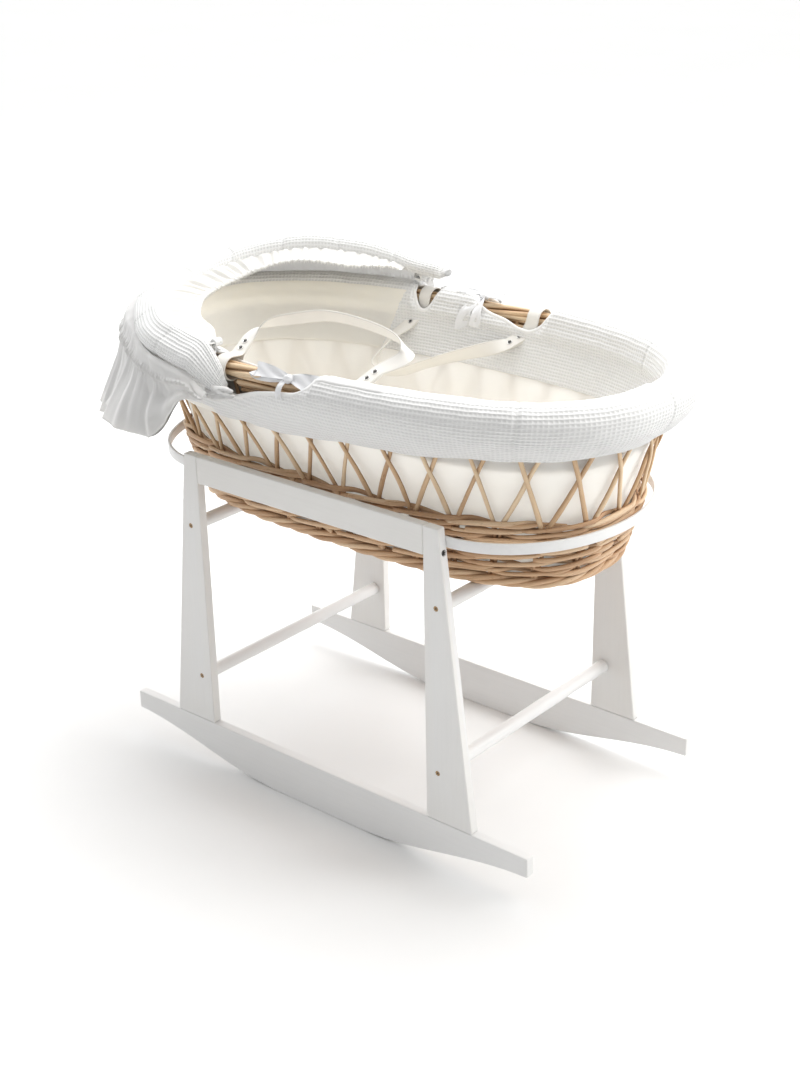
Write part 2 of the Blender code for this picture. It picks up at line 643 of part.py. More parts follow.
# along the roll from its near end to its far end: how far outside the plan
# line, height, tilt (outer edge down, degrees), half width, half thickness
HOOD_KEYS = ((0.00, 0.0345, 0.6930, 48.0, 0.0150, 0.0085),
             (0.05, 0.0345, 0.6960, 46.0, 0.0215, 0.0100),
             (0.13, 0.0330, 0.7045, 40.0, 0.0235, 0.0105),
             (0.26, 0.0110, 0.7130, 24.0, 0.0240, 0.0110),
             (0.38, 0.0020, 0.7165, 12.0, 0.0240, 0.0120),
             (0.50, 0.0000, 0.7240, 5.0, 0.0240, 0.0135),
             (0.62, 0.0000, 0.7365, 0.0, 0.0240, 0.0155),
             (0.75, 0.0000, 0.7480, 0.0, 0.0240, 0.0170),
             (0.88, 0.0000, 0.7440, 0.0, 0.0235, 0.0165),
             (0.96, 0.0000, 0.7350, 0.0, 0.0210, 0.0140),
             (1.00, 0.0000, 0.7280, 0.0, 0.0150, 0.0110))


def keyed(f, table):
    """Smooth values between the rows of a table, whose first column is f."""
    i = 0
    while i < len(table) - 2 and table[i + 1][0] < f:
        i += 1
    p1, p2 = table[i], table[i + 1]
    p0, p3 = table[max(0, i - 1)], table[min(len(table) - 1, i + 2)]
    span = p2[0] - p1[0]
    t = (f - p1[0]) / span
    out = []
    for j in range(1, len(p1)):
        m1 = (p2[j] - p0[j]) / (p2[0] - p0[0]) * span
        m2 = (p3[j] - p1[j]) / (p3[0] - p1[0]) * span
        out.append((2 * t ** 3 - 3 * t ** 2 + 1) * p1[j] + (t ** 3 - 2 * t ** 2 + t) * m1
                   + (3 * t ** 2 - 2 * t ** 3) * p2[j] + (t ** 3 - t ** 2) * m2)
    return out


def hood_line(count):
    """Stations from the near end of the roll round the head end to the far
    end: (x, y, outward x, outward y, f, out, z, tilt, half width, half thickness)."""
    pts = plan_points(HOOD_A, HOOD_B, HOOD_N, 0.0, 720)
    pts = [p for p in pts if p[0] <= PIVOT_X - 0.010]
    pts.sort(key=lambda p: math.atan2(p[1], -p[0]))
    lengths = [0.0]
    for p, q in zip(pts[:-1], pts[1:]):
        lengths.append(lengths[-1] + math.hypot(q[0] - p[0], q[1] - p[1]))
    out = []
    for k in range(count):
        f = k / (count - 1)
        want = lengths[-1] * f
        i = 0
        while i < len(lengths) - 2 and lengths[i + 1] < want:
            i += 1
        g = (want - lengths[i]) / (lengths[i + 1] - lengths[i])
        p, q = pts[i], pts[i + 1]
        v = [p[j] + (q[j] - p[j]) * g for j in range(4)]
        o, z, tilt, w, h = keyed(f, HOOD_KEYS)
        out.append((v[0], v[1], v[2], v[3], f, o, z, math.radians(tilt), w, h))
    return out


def build_hood(waffle, cotton, wire, plastic, parent):
    line = hood_line(HOOD_STEPS)
    # padded roll with a channel for the wire hoop
    def roll(seg, bore=None):
        rings = []
        for x, y, gx, gy, f, o, z, tilt, w, h in line:
            if bore:
                w = h = bore
            sec = []
            for j in range(seg):
                t = 2 * math.pi * j / seg
                u, v = w * math.cos(t), h * math.sin(t)
                du = u * math.cos(tilt) + v * math.sin(tilt)
                dv = -u * math.sin(tilt) + v * math.cos(tilt)
                sec.append((x + gx * (o + du), y + gy * (o + du), z + dv))
            rings.append(sec)
        return rings
    outer = roll(12)
    bore = roll(6, 0.0036)
    n = len(line)
    verts = [p for r in outer for p in r] + [p for r in bore for p in r]
    off = n * 12
    faces = []
    for i in range(n - 1):
        for k in range(12):
            k2 = (k + 1) % 12
            faces.append((i * 12 + k, i * 12 + k2, (i + 1) * 12 + k2, (i + 1) * 12 + k))
        for k in range(6):
            k2 = (k + 1) % 6
            faces.append((off + (i + 1) * 6 + k, off + (i + 1) * 6 + k2, off + i * 6 + k2, off + i * 6 + k))
    for i in (0, n - 1):                          # ring-shaped ends
        for k in range(6):
            a, b, c = i * 12 + 2 * k, i * 12 + 2 * k + 1, i * 12 + (2 * k + 2) % 12
            p, q = off + i * 6 + k, off + i * 6 + (k + 1) % 6
            faces += [(a, b, p), (b, q, p), (b, c, q)]
    add_object("hood_trim", mesh_from("hood_trim", verts, faces), waffle, True, parent)

    # wire hoop: from one pivot, through the roll, to the other
    inner = [Vector((s[0] + s[2] * s[5], s[1] + s[3] * s[5], s[6])) for s in line]
    sleeve_y = rim_y(PIVOT_X)
    a_end, b_end = inner[0], inner[-1]
    start = [Vector((PIVOT_X, -sleeve_y + 0.0100, PIVOT_Z)), Vector((PIVOT_X, -sleeve_y - 0.0085, PIVOT_Z)),
             Vector((PIVOT_X - 0.0008, -sleeve_y - 0.0150, PIVOT_Z - 0.0008)),
             Vector((PIVOT_X - 0.0030, a_end.y + 0.0060, a_end.z + 0.0095)),
             Vector((PIVOT_X - 0.0072, a_end.y + 0.0008, a_end.z + 0.0018))]
    finish = [Vector((PIVOT_X - 0.0078, b_end.y - 0.0005, b_end.z - 0.0022)),
              Vector((PIVOT_X - 0.0052, b_end.y - 0.0035, PIVOT_Z + 0.0100)),
              Vector((PIVOT_X - 0.0035, sleeve_y - 0.0120, PIVOT_Z + 0.0015)),
              Vector((PIVOT_X, sleeve_y - 0.0085, PIVOT_Z)), Vector((PIVOT_X, sleeve_y + 0.0100, PIVOT_Z))]
    path = start + inner + finish
    rings = []
    for i, p in enumerate(path):
        t = (path[min(len(path) - 1, i + 1)] - path[max(0, i - 1)]).normalized()
        u = t.cross(Vector((0, 0, 1))).normalized()
        v = u.cross(t).normalized()
        rings.append([p + (u * math.cos(2 * math.pi * j / 6) + v * math.sin(2 * math.pi * j / 6)) * HOOP_R
                      for j in range(6)])
    capped_solid("hood_hoop", rings, wire, parent=parent)

    # sleeves on the basket that the ends of the hoop turn in
    for side, s in (("near", -1), ("far", 1)):
        sl = turned(side + "_hood_pivot", (PIVOT_X, s * sleeve_y - 0.0070, PIVOT_Z), (0, 1, 0),
                    [(0, PIVOT_R - 0.0006), (0.0006, PIVOT_R), (0.0134, PIVOT_R), (0.0140, PIVOT_R - 0.0006)], plastic, 14)
        drill(sl, "cut_" + side + "_sleeve", (PIVOT_X, s * sleeve_y - 0.010, PIVOT_Z), (0, 1, 0),
              [(0, HOOP_R + 0.0006), (0.020, HOOP_R + 0.0006)], 8)

    def strip(name, section, mat, first=0, last=HOOD_STEPS):
        """A strip along the roll; section gives (offset, height) corners."""
        rings = []
        for x, y, gx, gy, f, o, z, tilt, w, h in hood_line(HOOD_STEPS)[first:last]:
            rings.append([(x + gx * q, y + gy * q, zz) for q, zz in section(f, o, z, tilt, w, h)])
        return capped_solid(name, rings, mat, parent=parent)

    # gathered frill from the roll's inner edge inwards to its elastic edge
    def frill(f, o, z, tilt, w, h):
        q0 = o - w * math.cos(tilt) - 0.0024
        z0 = z + w * math.sin(tilt)
        reach = smooth01(min(f, 1 - f) / 0.16)
        width = 0.010 + 0.044 * reach
        drop = -0.004 - 0.006 * reach
        return [(q0, z0 - 0.0005), (q0, z0 - 0.0060), (q0 - width * 0.5, z0 - 0.0058 + drop * 0.4), (q0 - width, z0 - 0.0055 + drop),
                (q0 - width, z0 + drop), (q0 - width * 0.5, z0 - 0.0003 + drop * 0.4)]
    strip("hood_frill", frill, cotton, 2, HOOD_STEPS - 2)

    # plain fabric hanging loose outside the basket from under the roll
    def shell(f, o, z, tilt, w, h):
        deep = smooth01((f + 0.055) / 0.30) * smooth01((1 - f + 0.060) / 0.30)
        t = SHELL_THICK
        q0 = o + w * math.cos(tilt) + 0.0026
        z0 = z - w * math.sin(tilt)
        o2, z_2, tilt2, w2, h2 = keyed(1 - f, HOOD_KEYS)      # hangs as wide on both sides
        q1 = max(0.0395, q0 + 0.0015, o2 + w2 * math.cos(math.radians(tilt2)) + 0.0041)
        z1 = min(0.7020, z0 - 0.0080)
        low = SHELL_HEM + (0.652 - SHELL_HEM) * (1 - deep)
        flare = q1 + 0.006 + (SHELL_FLARE - 0.0455) * deep
        z2 = z1 + (low - z1) * 0.5
        q2 = q1 + (flare - t - q1) * 0.42
        return [(q0, z0 + 0.0040), (q1, z1), (q2, z2), (flare - t, low + 0.0020),
                (flare, low), (q2 + t, z2), (q1 + t, z1 + 0.0030), (q0 + t * 0.7, z0 + 0.0030)]
    strip("hood_shell", shell, cotton)


# ------------------------------------------------------------ assembly
def main():
    clear_scene()
    white = material("painted_white_wood", (0.86, 0.86, 0.85), 0.42)
    birch = material("birch_pin", (0.72, 0.56, 0.36), 0.6)
    brass = material("brass_screw", (0.60, 0.45, 0.25), 0.35, 1.0)
    steel = material("dark_steel_screw", (0.20, 0.19, 0.18), 0.4, 1.0)
    willow = material("peeled_willow", (0.70, 0.49, 0.28), 0.55)
    border = material("willow_border", (0.72, 0.51, 0.30), 0.55)
    cotton = material("plain_cotton", (0.90, 0.86, 0.79), 0.9)
    waffle = material("waffle_cotton", (0.90, 0.89, 0.88), 0.9)
    ticking = material("mattress_cover", (0.90, 0.87, 0.81), 0.9)
    leather = material("ivory_leatherette", (0.84, 0.82, 0.77), 0.45)
    nickel = material("nickel_rivet", (0.75, 0.74, 0.72), 0.2, 1.0)
    ribbon = material("white_ribbon", (0.93, 0.93, 0.94), 0.7)
    wire = material("hoop_wire", (0.6, 0.6, 0.6), 0.4, 1.0)
    plastic = material("white_plastic", (0.88, 0.88, 0.87), 0.4)

    build_stand(white, brass, steel, birch)
    build_basket(willow, border, cotton, waffle, ticking)

    def empty(name, pos):
        e = bpy.data.objects.new(name, None)
        e.location = pos
        bpy.context.scene.collection.objects.link(e)
        return e
    near_axis = empty("near_handle_axis", (0, -sum(rim_y(x) for x in NEAR_ENDS) / 2, RIM_Z))
    far_axis = empty("far_handle_axis", (0, sum(rim_y(x) for x in FAR_ENDS) / 2, RIM_Z))
    hood_axis = empty("hood_axis", (PIVOT_X, 0, PIVOT_Z))
    build_handle("near", leather, nickel, near_axis)
    build_handle("far", leather, nickel, far_axis)
    build_tie("near", ribbon, 0.004, 0.060)
    build_tie("far", ribbon, -0.022, 0.048)
    build_hood(waffle, cotton, wire, plastic, hood_axis)

    # the origin goes under the middle of the whole object
    for ob in list(bpy.data.objects):
        if ob.parent is None:
            ob.location.x += SHIFT_X


main()
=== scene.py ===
"""Looks of the baby cradle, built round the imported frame.

Everything is in metres in the row frame: +X towards the foot end, +Y across
to the far side, floor at z = 0. SX is the middle of the stand.
"""
import math

import bpy
import numpy as np
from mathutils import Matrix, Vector


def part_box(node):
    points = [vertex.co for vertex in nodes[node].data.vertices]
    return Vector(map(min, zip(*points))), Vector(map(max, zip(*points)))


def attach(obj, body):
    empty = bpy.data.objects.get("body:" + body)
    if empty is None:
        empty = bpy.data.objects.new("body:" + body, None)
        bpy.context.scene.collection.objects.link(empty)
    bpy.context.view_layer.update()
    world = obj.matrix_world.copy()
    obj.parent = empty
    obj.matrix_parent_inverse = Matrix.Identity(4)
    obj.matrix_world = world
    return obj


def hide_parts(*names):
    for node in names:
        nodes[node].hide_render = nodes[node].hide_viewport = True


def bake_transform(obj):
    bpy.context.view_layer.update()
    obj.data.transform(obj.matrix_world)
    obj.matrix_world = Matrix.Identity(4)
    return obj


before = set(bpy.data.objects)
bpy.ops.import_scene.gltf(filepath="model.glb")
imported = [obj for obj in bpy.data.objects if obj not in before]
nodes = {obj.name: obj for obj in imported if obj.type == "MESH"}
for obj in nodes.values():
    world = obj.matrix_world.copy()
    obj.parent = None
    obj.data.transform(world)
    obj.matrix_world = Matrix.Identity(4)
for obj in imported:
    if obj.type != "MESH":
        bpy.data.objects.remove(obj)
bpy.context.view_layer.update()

_lo, _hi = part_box("near_rocker")
SX = (_lo.x + _hi.x) / 2
ROCKER_LENGTH = _hi.x - _lo.x
ROCKER_TOP = _hi.z
TAU = 2 * math.pi


# ------------------------------------------------------------ small helpers
def smooth(t):
    t = np.clip(t, 0.0, 1.0)
    return t * t * (3 - 2 * t)


def gauss(d, w):
    return np.exp(-(d / w) ** 2)


def hash01(*k):
    v = 0.0
    for i, x in enumerate(k):
        v += math.sin(x * (12.9898 + 7.233 * i) + 3.1 * i) * 43758.5453
    return v - math.floor(v)


def wavy(s, seed, scales, amps):
    """Sum of a few sines with fixed random phases: a soft one-dimensional noise."""
    out = np.zeros_like(np.asarray(s, float))
    for i, (k, a) in enumerate(zip(scales, amps)):
        out = out + a * np.sin(TAU * k * s + TAU * hash01(seed, i, 1.7))
    return out


def noise2(x, y, seed, octaves=3):
    """Soft two-dimensional noise made of rotated sines, about -1 to 1."""
    out = 0.0
    amp, total = 1.0, 0.0
    for o in range(octaves):
        for j in range(4):
            a = TAU * hash01(seed, o, j)
            k = (0.7 + 0.6 * hash01(seed, j, o + 5)) * 2 ** o
            out = out + amp * np.sin(TAU * k * (x * math.cos(a) + y * math.sin(a)) + TAU * hash01(seed, o + 9, j))
        total += amp * 2.2
        amp *= 0.55
    return out / total


class Bag:
    """Collects vertices, faces and per-vertex attributes for one mesh."""

    def __init__(self):
        self.v, self.q, self.t = [], [], []
        self.attr = {}
        self.n = 0
        self.mats = []

    def add(self, v, quads=None, tris=None, mat=0, **attr):
        v = np.asarray(v, float).reshape(-1, 3)
        m = len(v)
        if quads is not None and len(quads):
            self.q.append(np.asarray(quads, int).reshape(-1, 4) + self.n)
        if tris is not None and len(tris):
            self.t.append(np.asarray(tris, int).reshape(-1, 3) + self.n)
        for k, a in attr.items():
            a = np.asarray(a, float)
            if a.ndim == 0:
                a = np.full(m, float(a))
            self.attr.setdefault(k, []).append((self.n, a))
        nq = 0 if quads is None else len(np.asarray(quads).reshape(-1, 4))
        nt = 0 if tris is None else len(np.asarray(tris).reshape(-1, 3))
        self.mats.append((nq, nt, mat))
        self.v.append(v)
        self.n += m

    def build(self, name, materials, shade=True, sharp=None):
        v = np.concatenate(self.v)
        v = v + np.array([SX, 0, 0])
        q = np.concatenate(self.q) if self.q else np.zeros((0, 4), int)
        t = np.concatenate(self.t) if self.t else np.zeros((0, 3), int)
        me = bpy.data.meshes.new(name)
        me.vertices.add(len(v))
        me.vertices.foreach_set("co", v.astype(np.float32).ravel())
        loops = np.concatenate([q.ravel(), t.ravel()]).astype(np.int32)
        me.loops.add(len(loops))
        me.loops.foreach_set("vertex_index", loops)
        me.polygons.add(len(q) + len(t))
        start = np.concatenate([np.arange(len(q)) * 4, len(q) * 4 + np.arange(len(t)) * 3]).astype(np.int32)
        me.polygons.foreach_set("loop_start", start)
        mq = np.concatenate([np.full(a, c) for a, b, c in self.mats]) if self.mats else []
        mt = np.concatenate([np.full(b, c) for a, b, c in self.mats]) if self.mats else []
        me.polygons.foreach_set("material_index", np.concatenate([mq, mt]).astype(np.int32))
        for k, parts in self.attr.items():
            vector = parts[0][1].ndim == 2
            full = np.zeros((len(v), 3) if vector else len(v))
            for at, a in parts:
                full[at:at + len(a)] = a
            layer = me.attributes.new(k, "FLOAT_VECTOR" if vector else "FLOAT", "POINT")
            layer.data.foreach_set("vector" if vector else "value", full.astype(np.float32).ravel())
        me.update(calc_edges=True)
        me.validate()
        if shade:
            me.shade_smooth()
            if sharp:
                me.set_sharp_from_angle(angle=math.radians(sharp))
        ob = bpy.data.objects.new(name, me)
        bpy.context.scene.collection.objects.link(ob)
        for m in materials if isinstance(materials, (list, tuple)) else [materials]:
            me.materials.append(m)
        return ob


def unit(a):
    return a / np.maximum(np.linalg.norm(a, axis=-1, keepdims=True), 1e-12)


def grid_quads(m, n, close_m=False, close_n=False):
    i = np.arange(m if close_m else m - 1)
    j = np.arange(n if close_n else n - 1)
    I, J = np.meshgrid(i, j, indexing="ij")
    I2, J2 = (I + 1) % m, (J + 1) % n
    return np.stack([I * n + J, I * n + J2, I2 * n + J2, I2 * n + J], -1).reshape(-1, 4)


def tube(bag, pts, normal, rw, rh=None, seg=8, closed=False, seed=0.0, grain=True, mat=0, section=None, wuv=False):
    """A swept strand. normal is the direction of the section's second axis."""
    pts = np.asarray(pts, float)
    m = len(pts)
    if closed:
        tan = np.roll(pts, -1, 0) - np.roll(pts, 1, 0)
    else:
        tan = np.gradient(pts, axis=0)
    tan = unit(tan)
    normal = np.broadcast_to(np.asarray(normal, float), pts.shape)
    side = unit(np.cross(tan, normal))
    nor = unit(np.cross(side, tan))
    rw = np.broadcast_to(np.asarray(rw, float), (m,))
    rh = rw if rh is None else np.broadcast_to(np.asarray(rh, float), (m,))
    a = TAU * np.arange(seg) / seg
    if section is None:
        ca, sa = np.cos(a), np.sin(a)
    else:
        ca, sa = section(a)
    v = (pts[:, None, :] + side[:, None, :] * (rw[:, None] * ca)[..., None]
         + nor[:, None, :] * (rh[:, None] * sa)[..., None])
    d = np.linalg.norm(np.diff(pts, axis=0), axis=1)
    s = np.concatenate([[0], np.cumsum(d)])
    quads = grid_quads(m, seg, closed, True)
    if not closed:
        v = v.reshape(-1, 3)
        v = np.concatenate([v, pts[:1] - tan[:1] * rw[0] * 0.35, pts[-1:] + tan[-1:] * rw[-1] * 0.35])
        k = np.arange(seg)
        tris = np.concatenate([np.stack([np.full(seg, m * seg), (k + 1) % seg, k], -1),
                               np.stack([np.full(seg, m * seg + 1), (m - 1) * seg + k, (m - 1) * seg + (k + 1) % seg], -1)])
    else:
        v = v.reshape(-1, 3)
        tris = None
    S = np.repeat(s, seg)
    A = np.tile(a, m)
    g = np.stack([S + seed * 7.3, np.cos(A) * 0.5 + seed * 1.7, np.sin(A) * 0.5 - seed * 2.9], -1)
    w = np.stack([S, (np.abs(((A / TAU + 0.25) % 1.0) - 0.5) * 2) * rw.mean() * 2, np.zeros_like(S)], -1)
    # face: how far each point of the section faces outward; the willow material paints shade on the flanks from it
    face = np.sin(A)
    if not closed:
        g = np.concatenate([g, g[:1], g[-1:]])
        w = np.concatenate([w, w[:1], w[-1:]])
        face = np.concatenate([face, [0.6, 0.6]])
    at = {}
    if grain:
        at["grain"] = g
        at["face"] = face
        at["tint"] = np.full(len(g), hash01(seed, 3.3))
    if wuv:
        at["wuv"] = w
    bag.add(v, quads, tris, mat=mat, **at)
    return s[-1]


def catmull(points, per):
    p = np.asarray(points, float)
    out = []
    n = len(p)
    for i in range(n - 1):
        p0, p1, p2, p3 = p[max(0, i - 1)], p[i], p[i + 1], p[min(n - 1, i + 2)]
        for k in range(per):
            t = k / per
            out.append(0.5 * ((2 * p1) + (p2 - p0) * t + (2 * p0 - 5 * p1 + 4 * p2 - p3) * t * t
                              + (3 * p1 - p0 - 3 * p2 + p3) * t ** 3))
    out.append(p[-1])
    return np.array(out)


def put(ob, body, replaces=()):
    if body:
        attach(ob, body)
    if replaces:
        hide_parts(*replaces)
    return ob


# ------------------------------------------------------------ materials
def material(name, rough=0.6, metal=0.0, **sockets):
    m = bpy.data.materials.new(name)
    m.use_nodes = True
    nt = m.node_tree
    p = nt.nodes["Principled BSDF"]
    p.inputs["Roughness"].default_value = rough
    p.inputs["Metallic"].default_value = metal
    for k, v in sockets.items():
        p.inputs[k.replace("_", " ")].default_value = v
    return m, nt, p


def node(nt, kind, ins=None, **props):
    n = nt.nodes.new(kind)
    for k, v in props.items():
        setattr(n, k, v)
    for k, v in (ins or {}).items():
        sock = n.inputs[k]
        if isinstance(v, bpy.types.NodeSocket):
            nt.links.new(v, sock)
        else:
            sock.default_value = v
    return n


def math_node(nt, op, a, b=None, c=None, clamp=False):
    n = nt.nodes.new("ShaderNodeMath")
    n.operation = op
    n.use_clamp = clamp
    for i, v in enumerate((a, b, c)):
        if v is None:
            continue
        if isinstance(v, bpy.types.NodeSocket):
            nt.links.new(v, n.inputs[i])
        else:
            n.inputs[i].default_value = v
    return n.outputs[0]


def mix_colour(nt, fac, a, b, blend="MIX"):
    n = nt.nodes.new("ShaderNodeMix")
    n.data_type = "RGBA"
    n.blend_type = blend
    for i, v in ((0, fac), (6, a), (7, b)):
        if isinstance(v, bpy.types.NodeSocket):
            nt.links.new(v, n.inputs[i])
        else:
            n.inputs[i].default_value = v if i == 0 else (*v, 1.0)
    return n.outputs[2]


def ramp(nt, fac, stops):
    n = nt.nodes.new("ShaderNodeValToRGB")
    nt.links.new(fac, n.inputs[0])
    e = n.color_ramp.elements
    while len(e) < len(stops):
        e.new(0.5)
    for i, (p, c) in enumerate(stops):
        e[i].position = p
        e[i].color = (*c, 1.0) if len(c) == 3 else c
    return n.outputs[0]


def grey(v):
    return (v, v, v)


def noise(nt, vector, scale, detail=3.0, rough=0.5):
    n = node(nt, "ShaderNodeTexNoise", {"Scale": scale, "Detail": detail, "Roughness": rough})
    nt.links.new(vector, n.inputs["Vector"])
    return n.outputs["Fac"]


def scaled(nt, vector, sx, sy, sz):
    n = node(nt, "ShaderNodeMapping", {"Scale": (sx, sy, sz)})
    nt.links.new(vector, n.inputs["Vector"])
    return n.outputs[0]


def bump(nt, p, height, distance, strength=1.0, chain=None):
    b = node(nt, "ShaderNodeBump", {"Strength": strength, "Distance": distance})
    nt.links.new(height, b.inputs["Height"])
    if chain is not None:
        nt.links.new(chain, b.inputs["Normal"])
    nt.links.new(b.outputs[0], p.inputs["Normal"])
    return b.outputs[0]


def attribute(nt, name):
    n = nt.nodes.new("ShaderNodeAttribute")
    n.attribute_name = name
    return n


def painted_wood(name, axis):
    """Satin white paint over sanded wood, with a trace of the grain along one axis."""
    m, nt, p = material(name, 0.42, Coat_Weight=0.12, Coat_Roughness=0.25)
    obj = nt.nodes.new("ShaderNodeTexCoord").outputs["Object"]
    st = {"x": (3.0, 60.0, 60.0), "y": (60.0, 3.0, 60.0), "z": (60.0, 60.0, 3.0)}[axis]
    grain = noise(nt, scaled(nt, obj, *st), 4.0, 4.0, 0.6)
    blotch = noise(nt, obj, 9.0, 3.0)
    fine = noise(nt, obj, 900.0, 2.0)
    tone = mix_colour(nt, blotch, (0.845, 0.842, 0.835), (0.87, 0.868, 0.862))
    lines = ramp(nt, grain, ((0.30, grey(0.982)), (0.55, grey(1.0)), (1.0, grey(1.0))))
    col = mix_colour(nt, 1.0, tone, lines, "MULTIPLY")
    # rubbed edges: the paint is darker and creamier along the sharp edges
    geo = nt.nodes.new("ShaderNodeNewGeometry")
    edge = ramp(nt, geo.outputs["Pointiness"], ((0.49, grey(1.0)), (0.53, grey(0.965)), (0.60, (0.95, 0.93, 0.89))))
    col = mix_colour(nt, 0.6, col, edge, "MULTIPLY")
    nt.links.new(col, p.inputs["Base Color"])
    r = math_node(nt, "MULTIPLY_ADD", blotch, 0.16, 0.34)
    nt.links.new(r, p.inputs["Roughness"])
    b1 = bump(nt, p, grain, 0.00010, 0.5)
    bump(nt, p, fine, 0.00004, 0.5, b1)
    return m


def willow_mat(name, light, dark, deep):
    """Peeled willow: streaks along the rod, a tint of its own for each rod, dark spots, painted shade on the flanks."""
    m, nt, p = material(name, 0.55, Sheen_Weight=0.05)
    g = attribute(nt, "grain").outputs["Vector"]
    tint = attribute(nt, "tint").outputs["Fac"]
    streak = noise(nt, scaled(nt, g, 9.0, 5.0, 5.0), 3.0, 5.0, 0.65)
    slow = noise(nt, scaled(nt, g, 14.0, 1.0, 1.0), 1.0, 2.0)
    spots = noise(nt, scaled(nt, g, 110.0, 4.0, 4.0), 1.6, 2.0)
    f = math_node(nt, "MULTIPLY_ADD", tint, 0.55, math_node(nt, "MULTIPLY", streak, 0.75))
    f = math_node(nt, "ADD", f, math_node(nt, "MULTIPLY_ADD", slow, 0.5, -0.45), clamp=True)
    col = ramp(nt, f, ((0.10, light), (0.50, dark), (0.95, deep)))
    mark = ramp(nt, spots, ((0.0, grey(1.0)), (0.66, grey(1.0)), (0.76, (0.55, 0.40, 0.28))))
    col = mix_colour(nt, 1.0, col, mark, "MULTIPLY")
    # painted shade: the flanks that lie against neighbouring rods, where the light doesn't reach, are darkened
    out = math_node(nt, "MULTIPLY_ADD", attribute(nt, "face").outputs["Fac"], 0.5, 0.5, clamp=True)
    flank_shade = ramp(nt, out, ((0.0, (0.50, 0.38, 0.29)), (0.45, (0.66, 0.54, 0.44)), (0.74, (0.95, 0.92, 0.88)), (1.0, grey(1.0))))
    col = mix_colour(nt, 1.0, col, flank_shade, "MULTIPLY")
    nt.links.new(col, p.inputs["Base Color"])
    nt.links.new(math_node(nt, "MULTIPLY_ADD", streak, 0.3, 0.38), p.inputs["Roughness"])
    bump(nt, p, streak, 0.0006, 0.7)
    return m


def fabric(name, colour, shade, pitch=0.0009, weave_depth=0.00012, rough=0.9, sheen=0.25, coord="wuv", thin=0.0):
    """Plain weave: over-and-under threads, soft mottling, gentle colour change."""
    m, nt, p = material(name, rough, Sheen_Weight=sheen, Sheen_Roughness=0.5)
    if thin:
        p.inputs["Subsurface Weight"].default_value = thin
        p.inputs["Subsurface Radius"].default_value = (1.0, 0.95, 0.85)
        p.inputs["Subsurface Scale"].default_value = 0.012
    if coord == "wuv":
        w = attribute(nt, "wuv").outputs["Vector"]
    else:
        w = nt.nodes.new("ShaderNodeTexCoord").outputs["Object"]
    sep = node(nt, "ShaderNodeSeparateXYZ")
    nt.links.new(w, sep.inputs[0])
    k = TAU / pitch / 2
    sx = math_node(nt, "SINE", math_node(nt, "MULTIPLY", sep.outputs[0], k))
    sy = math_node(nt, "SINE", math_node(nt, "MULTIPLY", sep.outputs[1], k))
    weave = math_node(nt, "MULTIPLY_ADD", math_node(nt, "MULTIPLY", sx, sy), 0.5, 0.5)
    mott = noise(nt, w, 18.0, 3.0)
    thread = noise(nt, scaled(nt, w, 30.0, 900.0, 1.0), 1.0, 2.0)
    col = mix_colour(nt, mott, colour, shade)
    col = mix_colour(nt, math_node(nt, "MULTIPLY", thread, 0.10), col, tuple(c * 0.86 for c in shade))
    nt.links.new(col, p.inputs["Base Color"])
    b1 = bump(nt, p, weave, weave_depth, 0.7)
    bump(nt, p, mott, 0.0012, 0.35, b1)
    return m


def waffle_mat(name, colour, pit_shade, pitch, row):
    """Waffle weave: square cells with raised ribs and sunk floors; the floors carry painted shade."""
    m, nt, p = material(name, 0.92, Sheen_Weight=0.3, Sheen_Roughness=0.5)
    w = attribute(nt, "wuv").outputs["Vector"]
    sep = node(nt, "ShaderNodeSeparateXYZ")
    nt.links.new(w, sep.inputs[0])
    wob = math_node(nt, "MULTIPLY_ADD", noise(nt, w, 35.0, 2.0), 0.0022, -0.0011)
    su = math_node(nt, "ADD", sep.outputs[0], wob)
    sv = math_node(nt, "ADD", sep.outputs[1], wob)
    a = math_node(nt, "ABSOLUTE", math_node(nt, "SINE", math_node(nt, "MULTIPLY", su, math.pi / pitch)))
    b = math_node(nt, "ABSOLUTE", math_node(nt, "SINE", math_node(nt, "MULTIPLY", sv, math.pi / row)))
    pit_f = math_node(nt, "MULTIPLY", math_node(nt, "POWER", b, 1.1), math_node(nt, "MULTIPLY_ADD", a, 0.58, 0.42))
    height = math_node(nt, "SUBTRACT", 1.0, pit_f)
    yarn = noise(nt, scaled(nt, w, 700.0, 700.0, 1.0), 1.0, 2.0)
    mott = noise(nt, w, 12.0, 3.0)
    # painted shade: the sunk cell floors are coloured darker through the pit mask
    side = math_node(nt, "MULTIPLY", math_node(nt, "POWER", pit_f, 2.2), 0.85)
    base = mix_colour(nt, mott, colour, tuple(c * 0.965 for c in colour))
    col = mix_colour(nt, side, base, pit_shade)
    nt.links.new(col, p.inputs["Base Color"])
    b1 = bump(nt, p, height, 0.0013, 0.85)
    bump(nt, p, yarn, 0.00015, 0.4, b1)
    return m


